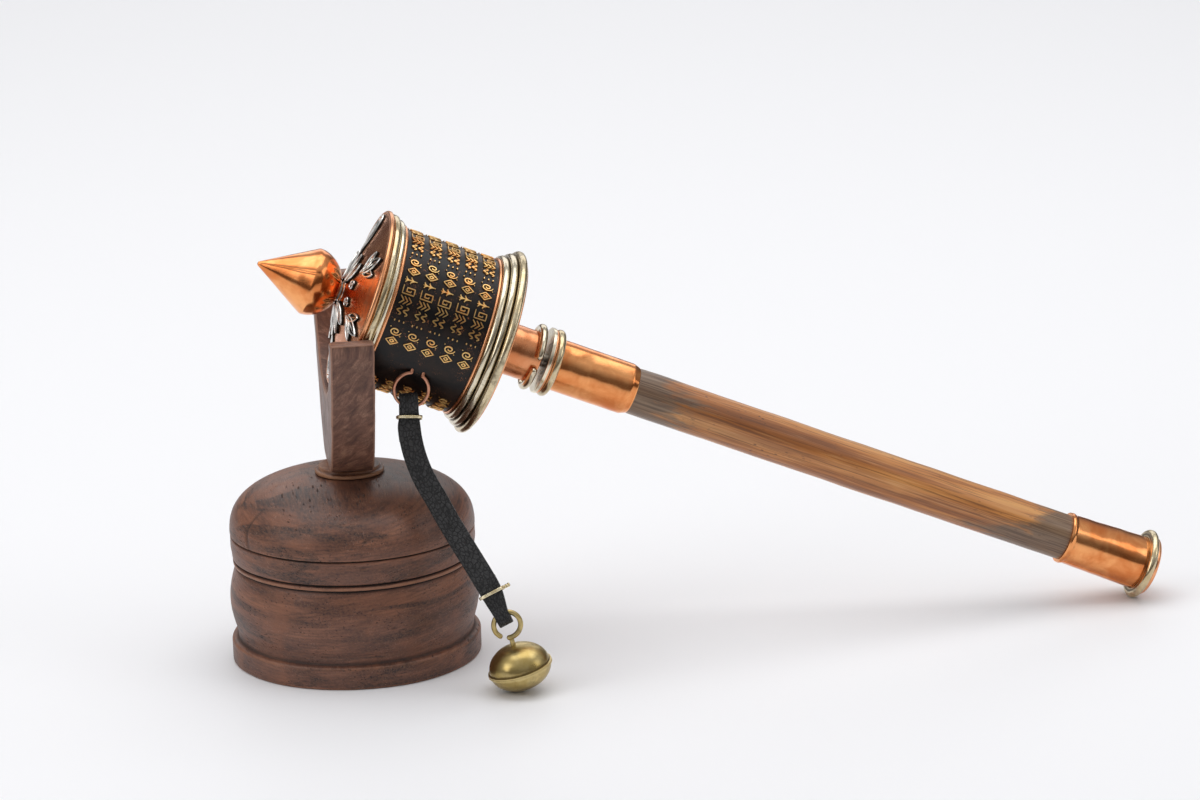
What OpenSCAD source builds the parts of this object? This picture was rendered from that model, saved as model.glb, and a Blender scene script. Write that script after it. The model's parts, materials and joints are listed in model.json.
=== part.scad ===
// Hand prayer wheel lying in a forked cradle on a turned wooden stand.
// Origin: centre of the stand's underside. +Z up, +X along the wheel towards the handle's end.

/* [Stand] */
// Radius of the foot
foot_r = 36; // [34:0.5:38]
// Height of the foot's straight band
foot_h = 6.4; // [5:0.1:8]
// Height of the thin groove under the dome
shoulder_h = 37.4; // [36:0.1:39]
// Height of the base's flat top
base_h = 54.4; // [53:0.1:56]
// Radius of the collar on the base
collar_r = 10; // [8:0.1:12]
// Thickness of the collar
collar_h = 2; // [1.5:0.1:2.5]
// Radius of the dowel between base and cradle
peg_r = 3.5; // [3:0.1:4]

/* [Cradle] */
// Thickness of the cradle along the wheel
cradle_t = 12.4; // [11:0.1:13]
// Height of the front horn's top
front_horn_z = 99.4; // [95:0.1:101]
// Height of the back horn's top
back_horn_z = 106.4; // [102:0.1:108]
// Half the gap between the horns
notch_r = 26.7; // [26.6:0.05:27.2]
// Half width across the horns
horn_r = 31.4; // [31:0.1:33]

/* [Wheel] */
// Slope of the wheel's axis
wheel_tilt = 22.7; // [22.2:0.1:23.2]
// Outer radius of the drum
drum_r = 22.9; // [22.7:0.05:23]
// Wall of the drum
drum_wall = 0.6; // [0.5:0.05:0.8]
// Radius of the lid's rim
rim_r = 26.2; // [26:0.05:26.3]
// Radius of the largest foot ring
foot_ring_r = 27.4; // [27:0.1:28]
// Rows of raised marks round the drum
band_count = 5; // [5:1:5]
// Marks in each row
marks_per_band = 24; // [18:1:28]
// Height of the raised marks
mark_h = 0.45; // [0.3:0.05:0.6]

/* [Handle] */
// Radius of the wooden grip
grip_r = 6.85; // [6.6:0.05:7]
// Radius of the steel spindle
spindle_r = 2; // [1.8:0.1:2.2]
// Running clearance between the spindle and what turns on it
run_gap = 0.06; // [0.03:0.01:0.08]
// Outer radius of the ring at the handle's end
end_ring_r = 10.45; // [10:0.05:10.6]

/* [Hanging weight] */
// Width of the leather strap
strap_w = 6.4; // [6:0.1:7]
// Thickness of the leather
strap_t = 1.6; // [1.4:0.1:1.8]
// Radius of the bell's body
bell_r = 8.9; // [8.5:0.1:9.2]
// Lean of the bell as it rests
bell_tilt = 14; // [10:1:16]

/* [Hidden] */
$fn = 96;

// Stations along the wheel's axis, from the point over the stand's centre, plus towards the handle.
tip_s = -25.4;
finial_wide_s = -9.6;
finial_back_s = -0.6;
hub_s = 0;
rim_s = 5;
brass_s = 6.4;
steel_s = 8.7;
line_s = 10.3;
wall_s = 11.4;
foot_line_s = 39.2;
foot_a_s = 40;
foot_b_s = 42;
foot_c_s = 44.1;
drum_end_s = 46.4;
plate_s = 47.4;
neck_end_s = 59.8;
disc_s = 61.4;
disc_edge_s = 62.4;
collar_s = 62.9;
ferrule_s = 65.4;
ferrule_shoulder_s = 87.5;
grip_s = 89.4;
grip_end_s = 227.3;
lip_s = 228.9;
end_ring_s = 252.9;
end_face_s = 254.2;
handle_end_s = 255.3;
spindle_end_s = 130;
end_wire_r = 1.15;

axis_h = end_ring_s * sin(wheel_tilt) + end_ring_r * cos(wheel_tilt);
drum_in_r = drum_r - drum_wall;
bore_r = spindle_r + run_gap;
finial_r = 9.8;
finial_back = finial_back_s - finial_wide_s;
finial_end_s = finial_wide_s + finial_back * sin(75);
lid_t = 0.9;
lid_flat_r = spindle_r + run_gap + 1.8;
lid_edge_r = rim_r - 1.2;
lid_slope = atan((rim_s - hub_s) / (lid_edge_r - lid_flat_r));
lid_turn = -12;
leaf_turns = [-120, -63, 60, 117];
curl_turns = [-106, -76, 74, 104];
petal_fan = 22;
neck_r = 7.5;
neck_wall = 0.7;
core_r = 4.2;
band_pitch = 5.4;
first_band_s = 14.4;
mark_len = 4.2;
bare_start = -76;
bare_end = -45;
mark_pitch = (360 - bare_end + bare_start) / marks_per_band;
mark_angle = mark_pitch - 4;
ferrule_r = 7.6;
ferrule_in_r = 6.75;
copper = "#b4683f";
brass_colour = "#b59a5a";
silver = "#9c9890";
dark_wood = "#5a3c2f";

// The wheel's own frame: +Z towards the handle, +X down, -Y to the front.
module on_axis() {
    translate([0, 0, axis_h]) rotate([0, 90 + wheel_tilt, 0]) children();
}

// A ring of square section from radius a to b between stations s0 and s1.
module band(a, b, s0, s1) {
    rotate_extrude() translate([a, s0]) square([b - a, s1 - s0]);
}

// A ring with a half-round outer edge.
module bead_ring(a, b, s0, s1) {
    h = s1 - s0;
    rotate_extrude() {
        translate([a, s0]) square([b - a - h / 2, h]);
        intersection() {
            translate([b - h / 2, s0 + h / 2]) circle(h / 2, $fn = 32);
            translate([b - h / 2 - 0.01, s0]) square([h, h]);
        }
    }
}

// A full round wire ring about the Z axis.
module wire_ring(major, minor) {
    rotate_extrude() translate([major, 0]) circle(minor, $fn = 24);
}

// Outline of a pointed petal from x = 0 to x = len, w wide.
function petal_half(len, w, n = 10) =
    [for (i = [0:n]) [len * i / n, w / 2 * pow(sin(180 * i / n), 0.8)]];
function petal_outline(len, w) = let(h = petal_half(len, w))
    concat(h, [for (i = [len(h) - 2:-1:1]) [h[i][0], -h[i][1]]]);

// Places flat work on the lid's cone at an angle from straight down and a distance from the axis.
module on_lid(angle, r) {
    on_axis() rotate([0, 0, angle + lid_turn])
        translate([r, 0, hub_s + (r - lid_flat_r) * tan(lid_slope) - 0.02])
        rotate([0, -lid_slope, 0]) rotate([180, 0, 0]) children();
}

// ---- Stand ----

function dome(n = 14) = [for (i = [0:n]) let(a = 90 * i / n)
    [(foot_r - 0.7) * pow(cos(a), 0.8), shoulder_h + 0.5 + (base_h - shoulder_h - 0.5) * pow(sin(a), 0.8)]];
function bulge(n = 10) = [for (i = [0:n]) let(t = i / n)
    [foot_r - 1.8 + 1.75 * sin(180 * t), 9.4 + 18.6 * t]];

module base() {
    color(dark_wood) difference() {
        rotate_extrude() polygon(concat(
            [[0, 0], [foot_r - 0.5, 0], [foot_r, 0.5], [foot_r, foot_h - 0.5], [foot_r - 0.5, foot_h],
             [foot_r - 1.4, foot_h + 0.4], [foot_r - 1.9, foot_h + 1.6]],
            bulge(),
            [[foot_r - 2.2, 28.5], [foot_r - 1.3, 29], [foot_r - 1.2, 29.9], [foot_r - 1.9, 30.4],
             [foot_r - 1.1, 31], [foot_r - 0.75, 33.4], [foot_r - 0.75, shoulder_h - 0.4],
             [foot_r - 1.3, shoulder_h]],
            [for (p = dome()) if (p[0] > 0.01) p],
            [[0, base_h]]));
        translate([0, 0, base_h - 8]) cylinder(h = 10, r = peg_r);
    }
}

module boss_disc() {
    color("#8a5a3a") difference() {
        rotate_extrude() translate([0, base_h]) polygon([[0, 0], [collar_r, 0], [collar_r, collar_h * 0.5],
            [collar_r - 1, collar_h * 0.6], [collar_r - 1.2, collar_h], [0, collar_h]]);
        translate([0, 0, base_h - 1]) cylinder(h = collar_h + 2, r = peg_r);
    }
}

module cradle_peg() {
    color("#a9825a") translate([0, 0, base_h - 8]) cylinder(h = 8 + collar_h + 8, r = peg_r);
}

// Half outline of the yoke from the bottom centre up to the horn's foot.
yoke_side = [[7.5, 0], [11, 0.9], [14.2, 3.4], [17.4, 8], [20.6, 13.6], [23.6, 19.6],
             [26.6, 26.6], [29.2, 34]];
notch_z = axis_h - 2;
notch_drop = 26.3;

module cradle() {
    foot_z = base_h + collar_h;
    color("#4b332b") difference() {
        translate([cradle_t / 2, 0, 0]) rotate([90, 0, -90]) linear_extrude(cradle_t) polygon(concat(
            [for (p = yoke_side) [p[0], p[1] + foot_z]],
            [[horn_r - 0.3, front_horn_z - 4], [horn_r, front_horn_z], [notch_r, front_horn_z]],
            [for (a = [-15:-6:-177]) [notch_r * cos(a), notch_z + notch_drop * sin(a)]],
            [[-notch_r, notch_z], [-notch_r, back_horn_z], [-horn_r, back_horn_z],
             [-horn_r, front_horn_z], [-horn_r + 0.3, front_horn_z - 4]],
            [for (i = [len(yoke_side) - 1:-1:0]) [-yoke_side[i][0], yoke_side[i][1] + foot_z]]));
        translate([0, 0, foot_z - 1]) cylinder(h = 9, r = peg_r);
    }
}

// ---- Wheel head ----

module drum_shell() {
    color("#2a211d") on_axis() difference() {
        rotate_extrude() translate([drum_in_r, brass_s]) square([drum_wall, drum_end_s - brass_s]);
        for (s = hanger_feet) rotate([0, 0, hanger_angle]) translate([drum_in_r - 1, 0, s])
            rotate([0, 90, 0]) cylinder(h = 3, r = 1.15, $fn = 32);
    }
}

module rim_brass_ring() { color(brass_colour) on_axis() bead_ring(drum_r, rim_r - 0.5, brass_s, steel_s); }
module rim_steel_ring() { color(silver) on_axis() bead_ring(drum_r, 24.8, steel_s, line_s); }
module rim_copper_line() { color(copper) on_axis() bead_ring(drum_r, 23.8, line_s, wall_s); }

module relief_band(i) {
    color(copper) on_axis() translate([0, 0, first_band_s + band_pitch * i - mark_len / 2])
        for (k = [0:marks_per_band - 1]) rotate([0, 0, bare_end + mark_pitch * k])
            rotate_extrude(angle = mark_angle) translate([drum_r, 0]) square([mark_h, mark_len]);
}

module foot_line() { color(copper) on_axis() bead_ring(drum_r, 23.5, foot_line_s, foot_a_s); }
module foot_ring_inner() { color(brass_colour) on_axis() bead_ring(drum_r, 24.7, foot_a_s, foot_b_s); }
module foot_ring_middle() { color(silver) on_axis() bead_ring(drum_r, 26, foot_b_s, foot_c_s); }
module foot_ring_outer() { color(brass_colour) on_axis() bead_ring(drum_r, foot_ring_r, foot_c_s, drum_end_s); }

module bottom_plate() {
    color(copper) on_axis() rotate_extrude() polygon([[neck_r - neck_wall, drum_end_s], [25.8, drum_end_s],
        [25.6, drum_end_s + 0.5], [neck_r, plate_s], [neck_r - neck_wall, plate_s]]);
}

module neck_sleeve() { color(copper) on_axis() band(neck_r - neck_wall, neck_r, plate_s, neck_end_s); }
module neck_ring() { color(silver) on_axis() bead_ring(neck_r, 10.1, neck_end_s - 2.4, neck_end_s); }
module core_tube() { color("#7d5a3c") on_axis() band(core_r - 1, core_r, 8, plate_s - 2); }
module lower_bush() {
    color("#6d4c33") on_axis() rotate_extrude() polygon([[bore_r, plate_s - 2], [drum_in_r - 0.1, plate_s - 2],
        [drum_in_r - 0.1, drum_end_s], [neck_r - neck_wall, drum_end_s],
        [neck_r - neck_wall, neck_end_s - 0.2], [bore_r, neck_end_s - 0.2]]);
}
module upper_bush() { color("#6d4c33") on_axis() band(bore_r, core_r - 1, 8, 14); }
module scroll() { color("#d8c9a4") on_axis() band(core_r + 0.1, 20.6, 10.4, plate_s - 2.2); }

// ---- Lid ----

module lid() {
    color(copper) on_axis() rotate_extrude() polygon([[bore_r, hub_s], [lid_flat_r, hub_s],
        [lid_edge_r, rim_s], [lid_edge_r, brass_s], [drum_in_r - 0.15, brass_s],
        [drum_in_r - 0.15, brass_s + 3], [drum_in_r - 0.7, brass_s + 3], [drum_in_r - 0.7, rim_s + 0.7],
        [bore_r, hub_s + lid_t]]);
}

module lid_rim() { color(copper) on_axis() bead_ring(lid_edge_r, rim_r, rim_s, brass_s); }

module lid_teardrops() {
    color(silver) for (a = [0, 180]) on_lid(a, 12.2) linear_extrude(0.8) difference() {
        union() {
            translate([10, 0]) circle(2.6, $fn = 48);
            polygon([[0, -0.5], [0, 0.5], [8.6, 2.2], [8.6, -2.2]]);
        }
        translate([9.9, 0]) circle(1.5, $fn = 48);
        polygon([[4, -0.15], [4, 0.15], [9, 1.1], [9, -1.1]]);
    }
}

module lid_leaves() {
    color(silver) for (a = leaf_turns) on_lid(a, 13) linear_extrude(0.8) {
        polygon(petal_outline(11, 3.2));
        for (m = [-1, 1]) translate([1, 0]) rotate(30 * m) polygon(petal_outline(7.5, 2.4));
    }
}

module lid_curls() {
    color(silver) for (a = curl_turns) on_lid(a, 9) linear_extrude(0.8) difference() {
        circle(1.9, $fn = 48);
        circle(1.1, $fn = 48);
    }
}

module lotus_petals() {
    color(silver) for (a = [0, 180]) for (k = [-2:2]) on_lid(a + petal_fan * k, 3.9)
        linear_extrude(1) polygon(petal_outline(8.2, 1.5));
}

module lotus_hub() {
    color(silver) on_axis() rotate_extrude() polygon([[bore_r, hub_s - 0.55], [2.6, hub_s - 0.55],
        [3.4, hub_s - 0.2], [3.5, hub_s], [bore_r, hub_s]]);
}

// ---- Finial ----

module finial() {
    color(copper) on_axis() difference() {
        rotate_extrude() polygon(concat([[0, tip_s], [finial_r, finial_wide_s]],
            [for (i = [1:12]) let(a = 75 * i / 12) [finial_r * cos(a), finial_wide_s + finial_back * sin(a)]],
            [[0, finial_end_s]]));
        translate([0, 0, finial_wide_s + 1]) cylinder(h = 12, r = bore_r);
    }
}

module finial_washer() {
    color("#54463a") on_axis() band(bore_r, 2.5, finial_end_s, hub_s - 0.55);
}

// ---- Handle ----

module spindle() {
    color("#6b6864") on_axis() translate([0, 0, finial_wide_s + 1.2])
        cylinder(h = spindle_end_s - finial_wide_s - 1.2, r = spindle_r);
}
module ferrule_disc() { color(silver) on_axis() band(spindle_r, 9.8, disc_s, disc_edge_s); }
module disc_edge() { color(copper) on_axis() band(spindle_r, 9.6, disc_edge_s, collar_s); }
module collar_ring() { color(brass_colour) on_axis() bead_ring(ferrule_r, 10, collar_s, ferrule_s); }

module upper_ferrule() {
    color(copper) on_axis() rotate_extrude() polygon([[ferrule_in_r, collar_s], [ferrule_r, collar_s],
        [ferrule_r, ferrule_shoulder_s], [grip_r + 0.05, grip_s], [ferrule_in_r, grip_s]]);
}

module handle() {
    color("#b9834a") on_axis() difference() {
        rotate_extrude() polygon([[0, collar_s], [ferrule_in_r, collar_s], [ferrule_in_r, grip_s],
            [grip_r, grip_s], [grip_r, grip_end_s - 0.1], [ferrule_in_r, grip_end_s - 0.1],
            [ferrule_in_r, end_face_s], [0, end_face_s]]);
        translate([0, 0, collar_s - 1]) cylinder(h = spindle_end_s - collar_s + 1, r = spindle_r);
    }
}

module end_ferrule() {
    color(copper) on_axis() rotate_extrude() polygon([[ferrule_in_r, grip_end_s - 0.1], [7.75, grip_end_s - 0.1],
        [7.9, grip_end_s + 0.7], [7.55, lip_s], [8.1, end_ring_s - 3], [8.1, end_face_s],
        [ferrule_in_r, end_face_s]]);
}

module end_ring() {
    color(brass_colour) on_axis() bead_ring(8.1, end_ring_r, end_ring_s - end_wire_r, end_ring_s + end_wire_r);
}
module end_disc() {
    color(copper) on_axis() rotate_extrude() polygon([[0, end_face_s], [9, end_face_s], [9, end_face_s + 0.5],
        [8.6, handle_end_s], [0, handle_end_s]]);
}

// ---- Hanging weight ----

hanger_major = 4.9;
hanger_wire = 0.55;
hanger_c = [16.9, -20.4, 82.7];
hanger_gap = 20;
// Where the ring's two ends meet the drum: station, angle round the wheel and distance from the axis.
hanger_s = hanger_c[0] * cos(wheel_tilt) - (hanger_c[2] - axis_h) * sin(wheel_tilt);
hanger_feet = [for (side = [-1, 1]) hanger_s + side * hanger_major * sin(hanger_gap)];
hanger_down = -hanger_c[0] * sin(wheel_tilt) - (hanger_c[2] - axis_h) * cos(wheel_tilt)
    - hanger_major * cos(hanger_gap);
hanger_r = norm([hanger_c[1], hanger_down]);
// The legs lean as far one way at rest as they lean the other way when the ring has swung right out.
leg_lean = 35;
leg_angle = atan2(hanger_c[1], hanger_down);
pivot_r = drum_r - drum_wall / 2;
leg_reach = (hanger_r - pivot_r) / cos(leg_lean);
hanger_angle = leg_angle - atan((hanger_r - pivot_r) * tan(leg_lean) / hanger_r);
loop_c = [38.9, -46, 19.6];
loop_major = 3.8;
loop_wire = 0.75;
fold_lean = 25;
bell_c = [42.1, -46, 6.85];
bell_up = 7;
bell_down = 6.3;
bell_wall = 0.6;
pellet_r = 2.2;

// The strap's middle line between its two bindings, and how far its width leans from level.
run = [[16, -20.4, 74.6], [15.8, -21.2, 72.2], [16, -22.6, 68.6], [17, -25, 63.8], [18.8, -28, 58.8],
       [21.6, -31.6, 53.6], [24.6, -35.2, 47.8], [27.6, -38.4, 42.4], [30.6, -41.2, 37.2],
       [33.2, -43.6, 32.6], [35, -45, 28.9], [36, -45.8, 26.4]];
run_lean = [0, 0, 6, 14, 22, 28, 30, 30, 30, 29, 27, fold_lean];
run_side = [0.9, 0.9, 0.95, 0.6, 0.2, 0, 0, 0, 0.5, 0.95, 0.9, 0.9];
ply = strap_t / 2 + 0.2;
narrow_top = 5.2;
narrow_foot = 4.2;

function unit(v) = v / norm(v);
function along(p, i) = unit(p[min(i + 1, len(p) - 1)] - p[max(i - 1, 0)]);
function width_dir(d, lean) = let(w = [cos(lean), 0, sin(lean)]) unit(w - d * (w * d));
function front_dir(i) = let(d = along(run, i)) cross(d, width_dir(d, run_lean[i]));

// A fold round a wire at c: the leather's middle line, from side to side, over a half circle.
function fold_line(c, beyond, before, r, lean, up, n = 8) = let(out = up * [-sin(lean), 0, cos(lean)])
    concat([c - out * before + [0, r * up, 0]],
        [for (i = [0:n]) let(a = 180 * i / n) c + out * (beyond + r * sin(a)) + [0, r * up * cos(a), 0]],
        [c - out * before - [0, r * up, 0]]);

last = len(run) - 1;
top_wire = hanger_c + [-0.9, 0, -hanger_major + 0.1];
foot_wire = loop_c + loop_major * [-sin(fold_lean), 0, cos(fold_lean)];
strap_line = concat(
    [for (i = [2:-1:0]) run[i] - front_dir(i) * ply],
    fold_line(top_wire, 1.4, 0.8, 1.6, 0, 1),
    [for (i = [0:last]) run[i] + front_dir(i) * ply * run_side[i] / 0.9],
    fold_line(foot_wire, 0.9, 0, 1.95, fold_lean, -1),
    [for (i = [last:-1:last - 2]) run[i] - front_dir(i) * ply]);
strap_lean = concat([for (i = [2:-1:0]) run_lean[i]], [for (i = [0:10]) 0], run_lean,
    [for (i = [0:10]) fold_lean], [for (i = [last:-1:last - 2]) run_lean[i]]);
strap_width = concat([strap_w, strap_w - 0.2, strap_w - 0.8], [for (i = [0:10]) narrow_top],
    [strap_w - 0.8, strap_w - 0.2], [for (i = [2:last - 2]) strap_w], [strap_w - 0.3, strap_w - 1],
    [for (i = [0:10]) narrow_foot], [strap_w - 1, strap_w - 0.3, strap_w]);

// Flat strip of thickness t along a line, with its own width and lean at each point.
module strip(p, leans, widths, t) {
    n = len(p);
    pts = [for (i = [0:n - 1]) let(d = along(p, i), a = width_dir(d, leans[i]), b = cross(d, a))
        for (c = [[-1, -1], [1, -1], [1, 1], [-1, 1]]) p[i] + a * c[0] * widths[i] / 2 + b * c[1] * t / 2];
    sides = [for (i = [0:n - 2]) for (k = [0:3]) let(a = 4 * i + k, b = 4 * i + (k + 1) % 4)
        for (f = [[a, a + 4, b + 4], [a, b + 4, b]]) f];
    polyhedron(pts, concat([[0, 1, 2], [0, 2, 3]], sides,
        [[4 * n - 1, 4 * n - 2, 4 * n - 3], [4 * n - 1, 4 * n - 3, 4 * n - 4]]), convexity = 6);
}

module hanger_ring() {
    color(copper) {
        translate(hanger_c) rotate([90, 0, 0]) rotate([0, 0, 90 + hanger_gap - wheel_tilt])
            rotate_extrude(angle = 360 - 2 * hanger_gap)
                translate([hanger_major, 0]) circle(hanger_wire, $fn = 24);
        on_axis() for (s = hanger_feet) rotate([0, 0, leg_angle]) translate([hanger_r, 0, s])
            rotate([0, 0, leg_lean]) rotate([0, -90, 0])
                cylinder(h = leg_reach + 0.6, r = hanger_wire - 0.05, $fn = 24);
    }
}

module strap() { color("#26262a") strip(strap_line, strap_lean, strap_width, strap_t); }

// A square loop of wire round the strap at one of its points.
module tie(i, w, t) {
    d = along(run, i);
    a = width_dir(d, run_lean[i]);
    b = cross(d, a);
    c = run[i];
    color(brass_colour) multmatrix([[a[0], b[0], -d[0], c[0]], [a[1], b[1], -d[1], c[1]],
        [a[2], b[2], -d[2], c[2]], [0, 0, 0, 1]]) difference() {
        cube([w + 1.4, t + 1.4, 1], center = true);
        cube([w, t, 3], center = true);
    }
}
module upper_tie() { tie(0, strap_w - 0.3, 2 * ply + strap_t + 1); }
module lower_tie() { tie(last - 1, strap_w, 2 * ply + strap_t + 0.5); }

module at_bell() { translate(bell_c) rotate([0, -bell_tilt, 0]) children(); }

// Quarter outline of a dome of radius r and height h, from the rim to the axis.
function dome_line(r, h, n = 12) = [for (i = [0:n]) [r * cos(90 * i / n), h * sin(90 * i / n)]];

module bell_half(h) {
    in_r = bell_r - bell_wall;
    in_h = h - bell_wall;
    rotate_extrude() polygon(concat([[bell_r + 0.4, 0], [bell_r + 0.4, 0.4], [bell_r - 0.02, 0.45]],
        [for (p = dome_line(bell_r, h)) if (p[1] > 0.8) [max(p[0], 0), p[1]]],
        [for (i = [12:-1:0]) [max(in_r * cos(90 * i / 12), 0), in_h * sin(90 * i / 12)]]));
}

module bell_loop() {
    color(brass_colour) {
        translate(loop_c) rotate([90, 0, 0]) wire_ring(loop_major, loop_wire);
        at_bell() translate([0, 0, bell_up - 1]) cylinder(h = 3, r = loop_wire, $fn = 24);
    }
}
module bell_upper() {
    color(brass_colour) at_bell() difference() {
        bell_half(bell_up);
        translate([0, 0, bell_up - 2]) cylinder(h = 4, r = loop_wire, $fn = 24);
    }
}
module bell_lower() {
    color(brass_colour) at_bell() difference() {
        mirror([0, 0, 1]) bell_half(bell_down);
        translate([-6, -0.8, -bell_down - 1]) cube([12, 1.6, bell_down - 1]);
        for (x = [-6, 6]) translate([x, 0, -bell_down - 1]) cylinder(h = bell_down - 1, r = 1.3, $fn = 24);
    }
}
module bell_pellet() {
    color("#5b5b5d") at_bell() translate([0, 0, -bell_down + bell_wall + pellet_r + 0.5]) sphere(pellet_r);
}

base();
boss_disc();
cradle_peg();
cradle();
drum_shell();
rim_brass_ring();
rim_steel_ring();
rim_copper_line();
relief_band(0);  // relief_band_1
relief_band(1);  // relief_band_2
relief_band(2);  // relief_band_3
relief_band(3);  // relief_band_4
relief_band(4);  // relief_band_5
foot_line();
foot_ring_inner();
foot_ring_middle();
foot_ring_outer();
bottom_plate();
neck_sleeve();
neck_ring();
core_tube();
lower_bush();
upper_bush();
scroll();
lid();
lid_rim();
lid_teardrops();
lid_leaves();
lid_curls();
lotus_petals();
lotus_hub();
finial();
finial_washer();
spindle();
ferrule_disc();
disc_edge();
collar_ring();
upper_ferrule();
handle();
end_ferrule();
end_ring();
end_disc();
hanger_ring();
strap();
upper_tie();
lower_tie();
bell_loop();
bell_upper();
bell_lower();
bell_pellet();
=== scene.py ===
import json
import math

import bpy
import numpy as np
from mathutils import Matrix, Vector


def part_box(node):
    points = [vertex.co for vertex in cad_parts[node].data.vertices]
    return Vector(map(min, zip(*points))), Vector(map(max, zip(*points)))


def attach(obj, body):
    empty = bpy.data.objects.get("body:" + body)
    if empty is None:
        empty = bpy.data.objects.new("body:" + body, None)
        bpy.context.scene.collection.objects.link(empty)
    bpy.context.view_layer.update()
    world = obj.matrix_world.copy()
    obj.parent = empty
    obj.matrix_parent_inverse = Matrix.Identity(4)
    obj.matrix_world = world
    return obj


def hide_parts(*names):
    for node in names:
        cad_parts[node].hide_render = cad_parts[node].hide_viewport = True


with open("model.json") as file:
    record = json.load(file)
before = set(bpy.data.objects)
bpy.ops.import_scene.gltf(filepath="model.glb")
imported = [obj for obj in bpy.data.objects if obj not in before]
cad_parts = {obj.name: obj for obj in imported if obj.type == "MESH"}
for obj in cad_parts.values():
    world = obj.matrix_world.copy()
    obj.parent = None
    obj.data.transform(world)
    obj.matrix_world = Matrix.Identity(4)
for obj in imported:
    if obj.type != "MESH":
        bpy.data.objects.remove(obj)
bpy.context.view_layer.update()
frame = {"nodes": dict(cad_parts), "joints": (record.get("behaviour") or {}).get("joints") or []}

bl_info = {
    "name": "Prayer Wheel",
    "version": (1, 0, 0),
    "blender": (4, 5, 0),
    "location": "View3D > Sidebar > Prayer Wheel",
    "description": "Builds a hand prayer wheel lying in the cradle of its turned wooden stand",
    "category": "Add Mesh",
}

MM = 0.001


# ---- The wheel's own frame, from the joint that it spins on ----

def unit(v):
    """The same direction with a length of one, for one vector or an array of them."""
    return v / np.linalg.norm(v, axis=-1, keepdims=True)


SPIN = next(joint for joint in frame["joints"] if joint["name"] == "spin")
HUB = np.array(SPIN["pos_m"])
ALONG = unit(np.array(SPIN["axis"]))
BACK = np.array([0.0, 1.0, 0.0])
DOWN = np.cross(BACK, ALONG)
WHEEL = (HUB, DOWN, BACK, ALONG)
STAND = (np.zeros(3), np.array([1.0, 0.0, 0.0]), BACK, np.array([0.0, 0.0, 1.0]))


def points_of(node):
    """A CAD node's points in the row frame."""
    mesh = frame["nodes"][node].data
    flat = np.empty(len(mesh.vertices) * 3, np.float32)
    mesh.vertices.foreach_get("co", flat)
    return flat.reshape(-1, 3).astype(float)


def span(node):
    """A CAD node's first and last station along the wheel, and its least and greatest radius about it."""
    offset = points_of(node) - HUB
    station = offset @ ALONG
    radius = np.linalg.norm(offset - station[:, None] * ALONG, axis=1)
    return station.min(), station.max(), radius.min(), radius.max()


# ---- Surfaces ----

def uneven(p, size, seed, waves=16):
    """Smooth unevenness of about -1 to 1: a sum of sine waves of about that size in random directions."""
    draw = np.random.RandomState(seed)
    heading = unit(draw.normal(size=(waves, 3)))
    rate = 2 * math.pi / size * draw.uniform(0.5, 1.5, waves)
    start = draw.uniform(0, 2 * math.pi, waves)
    return np.sin(p @ (heading * rate[:, None]).T + start).sum(-1) / math.sqrt(2 * waves)


def step(x, low, high):
    """0 below low, 1 above high and a smooth ramp between them."""
    t = np.clip((x - low) / (high - low), 0, 1)
    return t * t * (3 - 2 * t)


def placed(name, data):
    """A new object that holds the data, in the scene."""
    made = bpy.data.objects.new(name, data)
    bpy.context.scene.collection.objects.link(made)
    return made


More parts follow.
